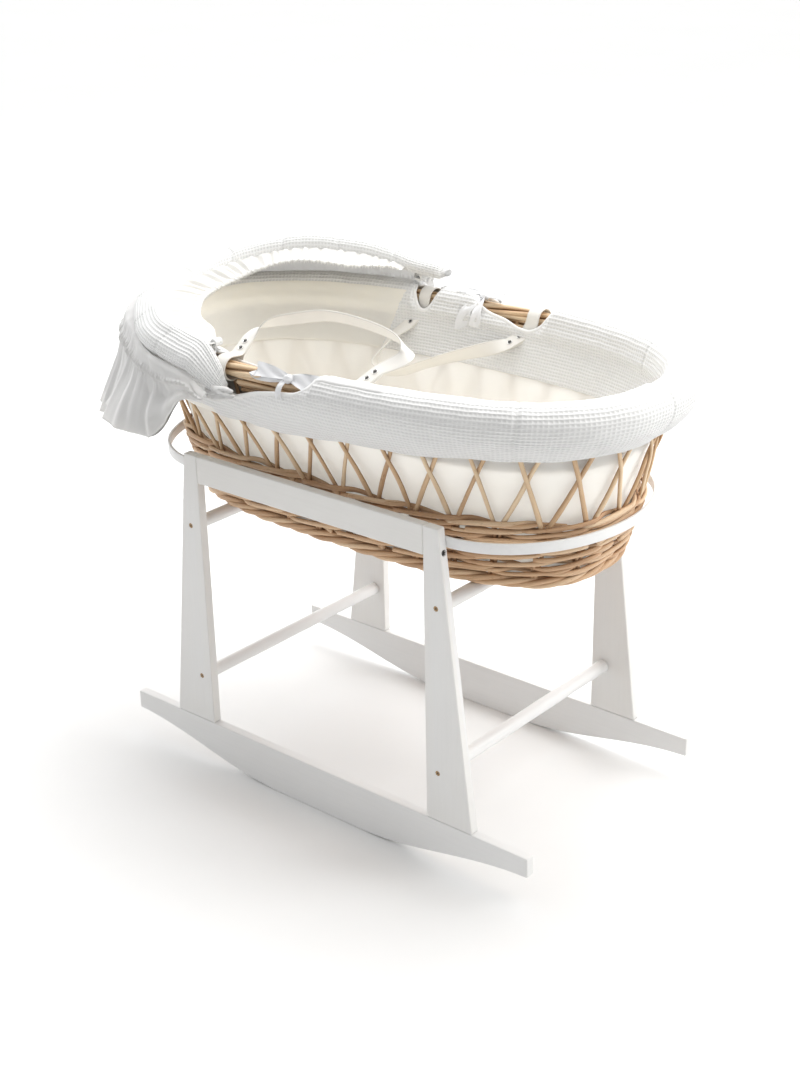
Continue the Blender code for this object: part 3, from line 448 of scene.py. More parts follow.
def leather_mat():
    m, nt, p = material("ivory_leatherette", 0.46, Coat_Weight=0.15, Coat_Roughness=0.35)
    w = attribute(nt, "wuv").outputs["Vector"]
    sep = node(nt, "ShaderNodeSeparateXYZ")
    nt.links.new(w, sep.inputs[0])
    pores = nt.nodes.new("ShaderNodeTexVoronoi")
    pores.inputs["Scale"].default_value = 900.0
    nt.links.new(w, pores.inputs["Vector"])
    mott = noise(nt, w, 30.0, 4.0)
    col = mix_colour(nt, mott, (0.86, 0.835, 0.79), (0.81, 0.785, 0.735))
    edge = math_node(nt, "ABSOLUTE", sep.outputs[1])
    ef = ramp(nt, math_node(nt, "DIVIDE", edge, 0.011), ((0.0, grey(0.0)), (0.80, grey(0.0)), (0.97, grey(1.0))))
    col = mix_colour(nt, math_node(nt, "MULTIPLY", ef, 0.55), col, (0.66, 0.63, 0.58))
    nt.links.new(col, p.inputs["Base Color"])
    b1 = bump(nt, p, pores.outputs["Distance"], 0.00012, 0.5)
    groove = ramp(nt, math_node(nt, "DIVIDE", edge, 0.011), ((0.0, grey(1.0)), (0.74, grey(1.0)), (0.79, grey(0.0)), (0.84, grey(1.0)), (1.0, grey(0.8))))
    bump(nt, p, groove, 0.0003, 0.7, b1)
    return m


def metal_mat(name, colour, dark, rough, scratch=300.0):
    m, nt, p = material(name, rough, 1.0)
    obj = nt.nodes.new("ShaderNodeTexCoord").outputs["Object"]
    n1 = noise(nt, obj, scratch, 3.0)
    n2 = noise(nt, obj, 60.0, 2.0)
    nt.links.new(mix_colour(nt, n2, colour, dark), p.inputs["Base Color"])
    nt.links.new(math_node(nt, "MULTIPLY_ADD", n1, 0.25, rough - 0.1), p.inputs["Roughness"])
    bump(nt, p, n1, 0.00005, 0.4)
    return m


def plain_mat(name, colour, rough, scale=80.0):
    m, nt, p = material(name, rough)
    obj = nt.nodes.new("ShaderNodeTexCoord").outputs["Object"]
    n1 = noise(nt, obj, scale, 4.0)
    nt.links.new(mix_colour(nt, n1, colour, tuple(c * 0.86 for c in colour)), p.inputs["Base Color"])
    bump(nt, p, n1, 0.0001, 0.4)
    return m


WHITE_X = painted_wood("painted_wood_lengthwise", "x")
WHITE_Y = painted_wood("painted_wood_crosswise", "y")
WHITE_Z = painted_wood("painted_wood_upright", "z")
WILLOW = willow_mat("peeled_willow", (0.88, 0.68, 0.47), (0.69, 0.45, 0.265), (0.36, 0.18, 0.09))
WILLOW_ROD = willow_mat("peeled_willow_rods", (0.87, 0.69, 0.475), (0.74, 0.52, 0.315), (0.44, 0.245, 0.12))
WAFFLE_PITCH, WAFFLE_ROW = 0.0058, 0.0047
# the second colour is the painted shade in the sunk cell floors
WAFFLE = waffle_mat("waffle_cotton", (0.86, 0.858, 0.85), (0.70, 0.70, 0.695), WAFFLE_PITCH, WAFFLE_ROW)
COTTON = fabric("plain_cotton", (0.935, 0.905, 0.835), (0.91, 0.875, 0.80), thin=0.40)
FRILL_COTTON = fabric("frill_cotton", (0.91, 0.90, 0.865), (0.88, 0.865, 0.825), thin=0.45)
SHELL_COTTON = fabric("outer_cotton", (0.80, 0.79, 0.77), (0.765, 0.755, 0.735), weave_depth=0.00016, thin=0.3)
BINDING = fabric("binding_tape", (0.88, 0.875, 0.865), (0.85, 0.845, 0.835), pitch=0.0007)
RIBBON = fabric("bow_tape", (0.885, 0.89, 0.90), (0.845, 0.85, 0.87), pitch=0.0008, sheen=0.4, rough=0.75)
TICKING = fabric("mattress_cotton", (0.88, 0.85, 0.79), (0.85, 0.815, 0.75))
LEATHER = leather_mat()
NICKEL = metal_mat("nickel", (0.80, 0.79, 0.77), (0.68, 0.67, 0.65), 0.22)
# painted shade: near-black for the screw recesses, the socket and bolt hole, and the rivets' hollow centres
RECESS_SHADE = plain_mat("painted_recess_shade", (0.045, 0.042, 0.04), 0.5)
BRASS = metal_mat("brass_screw", (0.52, 0.36, 0.20), (0.30, 0.19, 0.10), 0.38)
STEEL = metal_mat("dark_steel", (0.16, 0.155, 0.15), (0.08, 0.078, 0.075), 0.42)
RAWWOOD = plain_mat("raw_wood_ring", (0.42, 0.24, 0.13), 0.7, 300.0)
WIRE = metal_mat("hoop_wire", (0.60, 0.60, 0.60), (0.45, 0.45, 0.45), 0.35)
PLASTIC = plain_mat("white_plastic", (0.87, 0.87, 0.86), 0.42)
BIRCH = plain_mat("birch_pin", (0.66, 0.48, 0.29), 0.6, 200.0)


def repaint(name, mat):
    me = nodes[name].data
    me.materials.clear()
    me.materials.append(mat)


for _s in ("near", "far"):
    repaint(_s + "_top_rail", WHITE_X)
    for _e in ("head", "foot"):
        repaint("%s_%s_leg" % (_s, _e), WHITE_Z)
        repaint("%s_%s_leg_pin" % (_s, _e), BIRCH)
        repaint("%s_%s_band_screw" % (_s, _e), BRASS)
    repaint(_s + "_hood_pivot", PLASTIC)
repaint("hood_hoop", WIRE)


# ------------------------------------------------------------ basket wall
BASE_Z, RIM_Z, WEAVE_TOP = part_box("wicker_base")[0].z, 0.6760, 0.510
_Z = np.linspace(0.405, 0.705, 61)
_K = 1440


def half_axes(z):
    h = np.clip((z - 0.4143) / 0.2617, 0, 1)
    return 0.352 + 0.0775 * h ** 0.8, 0.153 + 0.0765 * h ** 1.3, 2.9 - 0.4 * h


def outline(a, b, n, count=_K):
    t = TAU * np.arange(count * 2) / (count * 2)
    c, s = np.cos(t), np.sin(t)
    x, y = a * np.sign(c) * np.abs(c) ** (2 / n), b * np.sign(s) * np.abs(s) ** (2 / n)
    d = np.hypot(np.diff(np.append(x, x[0])), np.diff(np.append(y, y[0])))
    L = np.concatenate([[0], np.cumsum(d)])
    want = L[-1] * np.arange(count) / count
    X = np.interp(want, L, np.append(x, x[0]))
    Y = np.interp(want, L, np.append(y, y[0]))
    gx = np.sign(X) * np.abs(X / a) ** (n - 1) / a
    gy = np.sign(Y) * np.abs(Y / b) ** (n - 1) / b
    g = np.hypot(gx, gy)
    return np.stack([X, Y, gx / g, gy / g], -1), L[-1]


_T, _PER = [], []
for _z in _Z:
    _t, _p = outline(*half_axes(_z))
    _T.append(_t)
    _PER.append(_p)
_T, _PER = np.array(_T), np.array(_PER)
RIM_LEN = float(np.interp(RIM_Z, _Z, _PER))


def wall(u, z, off=0.0):
    """Points on the basket's wall, and the outward direction there."""
    u, z, off = np.broadcast_arrays(np.asarray(u, float), np.asarray(z, float), np.asarray(off, float))
    zi = np.clip((z - _Z[0]) / (_Z[1] - _Z[0]), 0, len(_Z) - 1.001)
    i = zi.astype(int)
    f = (zi - i)[..., None]
    uj = (u % 1.0) * _K
    j = uj.astype(int) % _K
    g = (uj - np.floor(uj))[..., None]
    j2 = (j + 1) % _K
    v = ((_T[i, j] * (1 - g) + _T[i, j2] * g) * (1 - f) + (_T[i + 1, j] * (1 - g) + _T[i + 1, j2] * g) * f)
    nx, ny = v[..., 2], v[..., 3]
    l = np.hypot(nx, ny)
    nx, ny = nx / l, ny / l
    return (np.stack([v[..., 0] + nx * off, v[..., 1] + ny * off, z], -1),
            np.stack([nx, ny, np.zeros_like(nx)], -1))


def rim_u(x, near=True):
    """The place round the border with that x, on the near or the far side."""
    t, _ = outline(*half_axes(RIM_Z))
    side = t[:, 1] < 0 if near else t[:, 1] > 0
    k = np.where(side)[0]
    return k[np.argmin(np.abs(t[k, 0] - x))] / _K


def rim_y(x):
    return 0.2295 * (1 - (abs(x) / 0.4295) ** 2.5) ** 0.4


# ------------------------------------------------------------ stand
def build_rocker(side, s):
    half = ROCKER_LENGTH / 2
    t = np.linspace(0, 1, 48)
    x = 0.090 + (half - 0.090) * t
    z = 0.0435 * (0.8 * np.sin(0.5 * math.pi * t) ** 2 + 0.2 * t)
    low = np.stack([x, z], -1)
    top = np.stack([np.linspace(half, -half, 60), np.full(60, ROCKER_TOP)], -1)
    pts = np.concatenate([low, top, low[::-1] * [-1, 1]])
    lo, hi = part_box(side + "_rocker")
    n = len(pts)
    me = bpy.data.meshes.new(side + "_rocker_board")
    verts = [(p[0] + SX, y, p[1]) for y in (lo.y, hi.y) for p in pts]
    faces = [tuple(range(n)), tuple(range(2 * n - 1, n - 1, -1))]
    faces += [(i, n + i, n + (i + 1) % n, (i + 1) % n) for i in range(n)]
    me.from_pydata(verts, [], faces)
    me.update()
    ob = bpy.data.objects.new(side + "_rocker_board", me)
    bpy.context.scene.collection.objects.link(ob)
    me.materials.append(WHITE_X)
    mod = ob.modifiers.new("eased", "BEVEL")
    mod.width = 0.0016
    mod.segments = 3
    mod.limit_method = "ANGLE"
    mod.angle_limit = math.radians(50)
    mod.harden_normals = False
    me.shade_smooth()
    me.set_sharp_from_angle(angle=math.radians(50))
    put(ob, "stand", [side + "_rocker"])


def rounded_rect(w, h, r, k=4):
    """Corner-rounded section, counterclockwise, as (across, up)."""
    out = []
    for cx, cy, a0 in ((w - r, h - r, 0), (-w + r, h - r, 90), (-w + r, -h + r, 180), (w - r, -h + r, 270)):
        for i in range(k):
            a = math.radians(a0 + 90 * i / (k - 1))
            out.append((cx + r * math.cos(a), cy + r * math.sin(a)))
    return np.array(out)


def sweep_section(bag, pts, across, up, section, closed=False, mat=0, widths=None, **attr):
    """Sweeps a fixed section; across and up are unit vectors at each point."""
    m, n = len(pts), len(section)
    sc = np.ones(m) if widths is None else widths
    v = pts[:, None] + across[:, None] * (section[None, :, 0] * sc[:, None])[..., None] + up[:, None] * section[None, :, 1, None]
    v = v.reshape(-1, 3)
    tris = None
    if not closed:
        c = len(v)
        v = np.concatenate([v, pts[:1], pts[-1:]])
        k = np.arange(n)
        tris = np.concatenate([np.stack([np.full(n, c), (k + 1) % n, k], -1),
                               np.stack([np.full(n, c + 1), (m - 1) * n + k, (m - 1) * n + (k + 1) % n], -1)])
    s = np.concatenate([[0], np.cumsum(np.linalg.norm(np.diff(pts, axis=0), axis=1))])
    w = np.stack([np.repeat(s, n), np.tile(section[:, 0], m), np.tile(section[:, 1], m)], -1)
    if not closed:
        w = np.concatenate([w, [[s[0], 0, 0]], [[s[-1], 0, 0]]])
    bag.add(v, grid_quads(m, n, closed, True), tris, mat=mat, wuv=w, **attr)


def build_end_band(end, e):
    x0, x1, reach, thick = 0.2157, 0.2400, 0.398, 0.0045
    b = 0.1977
    arc = 96
    t = np.linspace(-math.pi / 2, math.pi / 2, arc + 1)
    nx, ny = np.cos(t), np.sin(t)
    ax = reach - x1
    out = np.stack([x1 + ax * nx, b * ny], -1)
    g = unit(np.stack([nx / ax, ny / b], -1))
    out = np.concatenate([[[x0, -b]], out, [[x0, b]]])
    g = np.concatenate([[[0, -1]], g, [[0, 1]]])
    mid = out - g * thick / 2
    z = 0.4970
    pts = np.stack([mid[:, 0] * e, mid[:, 1], np.full(len(mid), z)], -1)
    across = np.stack([g[:, 0] * e, g[:, 1], np.zeros(len(g))], -1)
    up = np.tile([0, 0, 1.0], (len(pts), 1))
    bag = Bag()
    sec = rounded_rect(thick / 2, 0.0075, 0.0011)
    sweep_section(bag, pts, across, up, sec if e > 0 else sec[::-1])
    ob = bag.build(end + "_bent_band", WHITE_Y, sharp=50)
    put(ob, "stand", [end + "_end_band"])


def lathe(bag, origin, axis, profile, seg=32, mat=0, close_ends=True, seed=1.0):
    """profile: (distance along the axis, radius)."""
    d = unit(np.asarray(axis, float))
    up = np.array([0, 0, 1.0]) if abs(d[2]) < 0.9 else np.array([1.0, 0, 0])
    u = unit(np.cross(d, up))
    w = np.cross(d, u)
    a = TAU * np.arange(seg) / seg
    pr = np.asarray(profile, float)
    ringv = np.cos(a)[:, None] * u + np.sin(a)[:, None] * w
    v = np.asarray(origin, float) + pr[:, 0][:, None, None] * d + pr[:, 1][:, None, None] * ringv[None]
    m = len(pr)
    v = v.reshape(-1, 3)
    tris = None
    if close_ends:
        c = len(v)
        v = np.concatenate([v, [np.asarray(origin) + d * pr[0, 0]], [np.asarray(origin) + d * pr[-1, 0]]])
        k = np.arange(seg)
        tris = np.concatenate([np.stack([np.full(seg, c), k, (k + 1) % seg], -1),
                               np.stack([np.full(seg, c + 1), (m - 1) * seg + (k + 1) % seg, (m - 1) * seg + k], -1)])
    q = grid_quads(m, seg, False, True)[:, ::-1]
    bag.add(v, q, tris, mat=mat)


def build_dowel(name, e, z):
    lo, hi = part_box(name)
    ln = hi.y - lo.y
    r = 0.0100
    y = np.linspace(0, ln, 60)
    prof = [(0.0, r * 0.93), (0.0006, r)] + [(q, r + 0.00012 * math.sin(q * 55 + z * 90)) for q in y[2:-2]] + [(ln - 0.0006, r), (ln, r * 0.93)]
    bag = Bag()
    lathe(bag, (e * 0.2356, lo.y, z), (0, 1, 0), prof, 40)
    ob = bag.build(name + "_rod", WHITE_Y, sharp=40)
    put(ob, "stand", [name])


def cross_head(bag, origin, axis, r, mat_metal=0, mat_recess_shade=1, turn=0.4):
    """A countersunk screw head with a cross recess, as a dished disc and two slots coloured with painted shade."""
    d = unit(np.asarray(axis, float))
    lathe(bag, origin, d, [(-0.0030, r * 0.45), (-0.0002, r * 0.99), (0.0, r), (0.0002, r * 0.93), (0.0001, r * 0.5), (-0.0001, r * 0.2)], 28, mat_metal)
    up = np.array([0, 0, 1.0]) if abs(d[2]) < 0.9 else np.array([1.0, 0, 0])
    u = unit(np.cross(d, up))
    w = np.cross(d, u)
    for k in range(2):
        a = turn + k * math.pi / 2
        du = u * math.cos(a) + w * math.sin(a)
        dw = -u * math.sin(a) + w * math.cos(a)
        L, W = r * 0.62, r * 0.13
        c = np.asarray(origin) + d * 0.00022
        ln = np.array([-1.0, -0.55, 0.0, 0.55, 1.0])
        wd = np.array([0.35, 0.9, 1.15, 0.9, 0.35])
        top = [c + du * L * a_ + dw * W * b_ for a_, b_ in zip(ln, wd)]
        bot = [c + du * L * a_ - dw * W * b_ for a_, b_ in zip(ln, wd)]
        v = np.array(top + bot)
        v = np.concatenate([v, v - d * 0.0008])
        q = [(i, i + 1, i + 6, i + 5) for i in range(4)]
        q += [(i + 10, i + 15, i + 16, i + 11) for i in range(4)]
        q += [(i, i + 10, i + 11, i + 1) for i in range(4)] + [(i + 5, i + 6, i + 16, i + 15) for i in range(4)]
        bag.add(v, q, mat=mat_recess_shade)


def build_stand():
    for side, s in (("near", -1), ("far", 1)):
        build_rocker(side, s)
        outer, mid = s * 0.213, s * 0.2055
        for end, e in (("head", -1), ("foot", 1)):
            tag = side + "_" + end
            for level, z in (("upper", 0.4040), ("lower", 0.1510)):
                bag = Bag()
                o = np.array([e * 0.2356, outer - s * 0.0005, z])
                cross_head(bag, o, (0, s, 0), 0.0037, 0, 1, 0.3 + 1.1 * hash01(e, s, z * 10))
                lathe(bag, o - np.array([0, s * 0.0006, 0]), (0, s, 0), [(0, 0.0037), (0.0004, 0.0046), (0.0009, 0.0042), (0.0005, 0.0036)], 28, 2, False)
                ob = bag.build("%s_%s_screw_head" % (tag, level), [BRASS, RECESS_SHADE, RAWWOOD], sharp=35)
                put(ob, "stand", ["%s_%s_screw" % (tag, level)])
            # long hexagon-socket screw in the leg's narrow face; the socket and a ring for the bolt hole round its head
            # are painted shade
            xe = 0.240 + (0.295 - 0.240) / (0.519 - 0.0738) * (0.519 - 0.4840)
            o = np.array([e * (xe - 0.0012), mid, 0.4840])
            bag = Bag()
            lathe(bag, o, (e, 0, 0), [(-0.012, 0.0020), (-0.0020, 0.0021), (-0.0020, 0.0036), (-0.0004, 0.0038), (-0.0001, 0.0034),
                                      (-0.0002, 0.0022), (-0.0012, 0.0019)], 30, 0)
            lathe(bag, o, (e, 0, 0), [(-0.0011, 0.0020), (-0.0010, 0.0019)], 6, 1)
            lathe(bag, o + np.array([e * 0.0004, 0, 0]), (e, 0, 0), [(-0.0012, 0.0040), (0.0006, 0.0042), (0.0009, 0.0046), (0.0004, 0.0050)], 30, 1, False)
            ob = bag.build(tag + "_socket_screw", [STEEL, RECESS_SHADE], sharp=35)
            put(ob, "stand", [tag + "_rail_screw"])
    for end, e in (("head", -1), ("foot", 1)):
        build_end_band(end, e)
        build_dowel(end + "_upper_dowel", e, 0.4040)
        build_dowel(end + "_lower_dowel", e, 0.1510)


# ------------------------------------------------------------ woven willow
BAYS = 30


def build_weave():
    bag = Bag()
    # upright stakes in pairs
    for i in range(BAYS):
        for k in (-1, 1):
            z = np.linspace(0.4190, 0.5150, 14)
            u = i / BAYS + k * 0.0036 / 2.0 + wavy(z * 30, i + k, (0.3,), (0.0006,))
            p, n = wall(u, z, -0.0048)
            tube(bag, p, n, 0.0030 - 0.0003 * hash01(i, k), 0.0027, 8, seed=i * 2 + k + 0.5)
    # rows of waling: each strand passes in front of two stakes and behind one
    rows = (0.4400, 0.4522, 0.4644, 0.4766, 0.4888, 0.5008, 0.5124)
    sid = 100.0
    phi = np.linspace(0, 1, 241)
    front = np.clip(2.1 * np.cos(TAU * (phi - 0.34)) + 0.65, -1, 1)
    rise = np.where(phi < 0.667, phi / 0.667 - 0.5, 0.5 - (phi - 0.667) / 0.333)
    kern = np.hanning(31)
    kern /= kern.sum()
    front = np.convolve(np.tile(front[:-1], 3), kern, "same")[240:481]
    rise = np.convolve(np.tile(rise[:-1], 3), kern, "same")[240:481]
    for r, z0 in enumerate(rows):
        for j in range(3):
            start = hash01(r, j, 0.3) * 9
            total = BAYS + 0.5
            at = 0.0
            while at < total - 0.2:
                ln = min(total - at, 7.0 + 6.0 * hash01(r, j, at))
                s = np.arange(0, ln + 0.01, 1 / 7.0)
                f = ((s + at + j + r * 1.37) / 3.0) % 1.0
                fr = np.interp(f, phi, front)
                rs = np.interp(f, phi, rise)
                sid += 1.0
                taper = np.linspace(1.08, 0.80, len(s)) if hash01(sid, 2) > 0.4 else np.linspace(0.85, 1.08, len(s))
                rad = 0.00330 * taper * (1 + 0.10 * wavy(s, sid, (0.31, 0.9), (1, 0.5)))
                z = z0 + rs * 0.0105 + (j - 1) * 0.0004 + wavy(s, sid + 5, (0.11, 0.37), (0.0011, 0.0008))
                off = -0.0046 + fr * 0.0058 + wavy(s, sid + 8, (0.5,), (0.0004,))
                p, n = wall((s + at + start) / BAYS, z, off)
                tube(bag, p, n, rad * 1.10, rad * 0.92, 8, seed=sid)
                at += ln + 0.25
    # thick plaited border round the foot of the wall
    for j in range(4):
        s = np.linspace(0, 1, 420, endpoint=False)
        ph = TAU * (s * 11 + j / 4)
        z = 0.4238 + 0.0052 * np.sin(ph) + wavy(s, j + 40, (3, 8), (0.0006, 0.0004))
        off = -0.0032 + 0.0046 * np.cos(ph)
        p, n = wall(s, z, off)
        tube(bag, p, n, 0.0041, 0.0038, 9, closed=True, seed=300 + j)
    ob = bag.build("woven_willow_band", WILLOW)
    put(ob, "basket", ["woven_side_band"])

    # base: long sticks with weavers going over and under them
    bag = Bag()
    a, b, n = 0.352 - 0.0098, 0.153 - 0.0098, 2.9
    ys = np.linspace(-0.126, 0.126, 9)
    for i, y in enumerate(ys):
        xm = a * (1 - (abs(y) / b) ** n) ** (1 / n) - 0.001
        x = np.linspace(-xm, xm, 60)
        p = np.stack([x, np.full(60, y), 0.4203 + 0.0003 * np.sin(x * 40 + i)], -1)
        tube(bag, p, (0, 0, 1), 0.0034, 0.0030, 8, seed=400 + i)
    xs = np.arange(-0.336, 0.337, 0.0068)
    for i, x in enumerate(xs):
        ym = b * max(0.0, 1 - (abs(x) / a) ** n) ** (1 / n) - 0.0012
        if ym < 0.03:
            continue
        y = np.linspace(-ym, ym, 56)
        sgn = 1 if i % 2 else -1
        z = 0.4203 + sgn * 0.0029 * np.sin(math.pi * (y - ys[0]) / (ys[1] - ys[0]) + math.pi / 2)
        p = np.stack([x + 0.0006 * np.sin(y * 60 + i * 2.1), y, np.clip(z, 0.4168, 0.4240)], -1)
        tube(bag, p, (1, 0, 0), 0.0022, 0.0028, 7, seed=500 + i)
    ob = bag.build("woven_base", WILLOW)
    put(ob, "basket", ["wicker_base"])


def build_lattice():
    bag = Bag()
    per = 2.02
    for i in range(BAYS):
        c = (i + 0.5) / BAYS
        p = 1.0 / BAYS
        for lean in (-1, 1):
            # lean +1: foot to the left, top to the right along u
            z = np.linspace(0.4990, 0.6665, 34)
            k = i * 2 + (lean + 1) // 2
            foot = c - lean * (0.5 * p - 0.0052 / per)
            cross = c + lean * 0.0006 / per
            top = c + lean * 0.36 * p
            t = np.clip((z - 0.512) / (0.590 - 0.512), 0, None)
            t2 = np.clip((z - 0.590) / (0.6665 - 0.590), 0, 1)
            low = foot + (cross - foot) * (np.minimum(t, 1) + 0.05 * np.sin(math.pi * np.minimum(t, 1)) * (hash01(k, 4) - 0.35) * 2)
            u = np.where(z < 0.590, low, cross + (top - cross) * (t2 + 0.10 * np.sin(math.pi * t2)))
            u = np.convolve(np.pad(u, 3, "edge"), np.hanning(7) / np.hanning(7).sum(), "valid")
            u = u + (hash01(k, 9) - 0.5) * 0.0032 * np.sin(math.pi * np.clip((z - 0.51) / 0.15, 0, 1))
            out = -lean * 0.0023 * gauss(z - 0.590, 0.024)
            off = -0.0036 + out - 0.0012 * smooth((0.53 - z) / 0.03)
            pt, n = wall(u, z, off)
            r = 0.0031 - 0.0006 * smooth((z - 0.5) / 0.17) + (hash01(k, 6) - 0.5) * 0.0007
            r = r * (1 + 0.05 * wavy(z * 20, k, (0.6, 1.7), (1, 0.5)))
            if lean > 0:
                r = r * 1.08
            tube(bag, pt, n, r * 1.08, r * 0.86, 10, seed=600 + k)
    ob = bag.build("willow_lattice_rods", WILLOW_ROD)
    put(ob, "basket", ["side_lattice"])

    bag = Bag()
    for j in range(6):
        s = np.linspace(0, 1, 520, endpoint=False)
        ph = TAU * (s * 4 + j / 6) + 0.25 * np.sin(TAU * (s * 9 + j * 0.37))
        rr = 0.0072
        p, n = wall(s, RIM_Z + rr * np.sin(ph), rr * np.cos(ph))
        p[..., 2] = RIM_Z + rr * np.sin(ph) + wavy(s, j + 70, (7, 15), (0.0003, 0.0002))
        bundle = n * np.cos(ph)[:, None] + np.array([0, 0, 1.0]) * np.sin(ph)[:, None]
        tube(bag, p, bundle, 0.0037 + 0.0004 * hash01(j, 7), 0.0037, 10, closed=True, seed=700 + j)
    s = np.linspace(0, 1, 300, endpoint=False)
    p, n = wall(s, RIM_Z, 0.0)
    tube(bag, p, n, 0.0042, 0.0042, 8, closed=True, seed=710)
    # thinner rods just under the border, between the strap loops
    for k, (u0, u1) in enumerate(((rim_u(-0.102, True), rim_u(0.084, True)), (rim_u(0.066, False), rim_u(-0.106, False)))):
        for j, (z0, o0, r0) in enumerate(((0.6615, 0.0060, 0.0036), (0.6545, 0.0048, 0.0034), (0.6480, 0.0052, 0.0031), (0.6600, -0.0050, 0.0032))):
            s = np.linspace(u0 + 0.0015 * hash01(j, k), u1 - 0.0015 * hash01(k, j, 2), 110)
            z = z0 + wavy(s, j + 90, (5, 13, 21), (0.0010, 0.0006, 0.0004))
            p, n = wall(s, z, o0 + wavy(s, j + 95, (4, 11), (0.0007, 0.0006)))
            tube(bag, p, n if o0 > 0 else -n, r0, r0 * 0.95, 9, seed=720 + j + 5 * k)
    ob = bag.build("willow_border_rods", WILLOW_ROD)
    put(ob, "basket", ["top_border"])


# ------------------------------------------------------------ lining and mattress
def build_lining():
    nu, nv = 640, 58
    u = np.arange(nu) / nu
    zf = 0.4272
    # height along the wall, then across the floor to a small middle
    vz = np.concatenate([np.linspace(0.6620, zf + 0.006, 42), np.full(nv - 42, zf)])
    U, Zg = np.meshgrid(u, vz)
    row = np.arange(nv)[:, None]
    inset = np.where(row < 42, 0.0, (row - 41) / (nv - 42) * 0.90)
    wallpart = smooth((Zg - 0.445) / 0.05) * smooth((0.606 - Zg) / 0.045)
    s = U * RIM_LEN
    hang = wavy(s + 0.15 * (Zg - 0.6), 21, (3.1, 5.7, 8.3), (0.9, 0.7, 0.4)) * 0.5
    folds = 0.0016 * hang + 0.0018 * noise2(s * 3.2, Zg * 5, 31)
    # a few deeper hanging creases on the inside of the far wall and at the head
    for uc, w, depth, slant in ((0.245, 0.010, 0.0045, 0.10), (0.27, 0.006, 0.003, -0.25), (0.315, 0.008, 0.0042, 0.30),
                                (0.352, 0.006, 0.0035, -0.15), (0.20, 0.007, 0.003, 0.2), (0.165, 0.008, 0.0028, -0.2),
                                (0.42, 0.010, 0.0040, 0.2), (0.47, 0.008, 0.003, -0.3), (0.555, 0.009, 0.003, 0.2)):
        du = U - uc - slant * (Zg - 0.6)
        folds = folds + depth * gauss(du, w)
    off = -0.0118 - np.clip(folds + 0.0022, 0.0, 0.012) * wallpart
    p, n = wall(U, Zg, off)
    cx = p[..., 0] * (1 - inset)
    cy = p[..., 1] * (1 - inset)
    p = np.stack([cx, cy, np.where(row < 42, Zg, zf + 0.0004 * noise2(cx * 20, cy * 20, 5))], -1)
    d = np.concatenate([[0], np.cumsum(np.linalg.norm(np.diff(p[:, 0], axis=0), axis=1))])
    w = np.stack([s, np.broadcast_to(d[:, None], s.shape), np.zeros_like(s)], -1)
    bag = Bag()
    v = p.reshape(-1, 3)
    c = len(v)
    v = np.concatenate([v, [[0, 0, zf]]])
    q = grid_quads(nv, nu, False, True)[:, ::-1]
    k = np.arange(nu)
    tris = np.stack([np.full(nu, c), (nv - 1) * nu + k, (nv - 1) * nu + (k + 1) % nu], -1)[:, ::-1]
    W = np.concatenate([w.reshape(-1, 3), [[0, 0.4, 0]]])
    bag.add(v, q, tris, wuv=W)
    ob = bag.build("cotton_lining", COTTON)
    mod = ob.modifiers.new("cloth", "SOLIDIFY")
    mod.thickness = 0.0008
    mod.offset = 0.0
    put(ob, "basket", ["lining"])
    round(area_of(v, q, tris), 4)
    return ob


def area_of(v, quads, tris=None):
    q = np.asarray(quads)
    a, b, c, d = v[q[:, 0]], v[q[:, 1]], v[q[:, 2]], v[q[:, 3]]
    s = 0.5 * np.linalg.norm(np.cross(b - a, c - a), axis=1).sum() + 0.5 * np.linalg.norm(np.cross(c - a, d - a), axis=1).sum()
    if tris is not None and len(tris):
        t = np.asarray(tris)
        s += 0.5 * np.linalg.norm(np.cross(v[t[:, 1]] - v[t[:, 0]], v[t[:, 2]] - v[t[:, 0]]), axis=1).sum()
    return float(s)


def build_mattress():
    lo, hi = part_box("mattress")
    a, b, n = 0.330, 0.136, 2.9
    t, per = outline(a, b, n, 300)
    prof = [(-0.060, 0.0), (-0.010, 0.0), (-0.002, 0.0025), (0.0, 0.006), (-0.0006, 0.012), (0.0, 0.020), (-0.0006, 0.028),
            (-0.0003, 0.033), (-0.0035, 0.0378), (-0.012, 0.0395), (-0.030, 0.0400), (-0.060, 0.0400), (-0.090, 0.0400)]
    prof = np.array(prof)
    z0 = lo.z + 0.0003
    m = len(prof)
    X = t[None, :, 0] + t[None, :, 2] * prof[:, 0, None]
    Y = t[None, :, 1] + t[None, :, 3] * prof[:, 0, None]
    Z = np.broadcast_to(z0 + prof[:, 1, None] * ((hi.z - lo.z - 0.0006) / 0.040), X.shape).copy()
    top = np.arange(m)[:, None] >= 9
    quilt = np.where(top, -0.0014 * np.abs(np.sin(X * TAU / 0.16) * np.sin(Y * TAU / 0.16)), 0)
    Z = Z + quilt
    v = np.stack([X, Y, Z], -1).reshape(-1, 3)
    bag = Bag()
    c = len(v)
    v = np.concatenate([v, [[0, 0, z0]], [[0, 0, hi.z - 0.0012]]])
    k = np.arange(300)
    tris = np.concatenate([np.stack([np.full(300, c), (k + 1) % 300, k], -1),
                           np.stack([np.full(300, c + 1), (m - 1) * 300 + k, (m - 1) * 300 + (k + 1) % 300], -1)])
    bag.add(v, grid_quads(m, 300, False, True), tris, wuv=np.stack([v[:, 0], v[:, 1], v[:, 2]], -1))
    # piping along the upper and lower edge
    for zz, o in ((0.0345, 0.0002), (0.0052, -0.0004)):
        p = np.stack([t[:, 0] + t[:, 2] * o, t[:, 1] + t[:, 3] * o, np.full(300, z0 + zz)], -1)
        tube(bag, p, (0, 0, 1), 0.0021, None, 8, closed=True, grain=False, wuv=True, seed=3)
    ob = bag.build("crib_mattress", TICKING)
    put(ob, "mattress", ["mattress"])


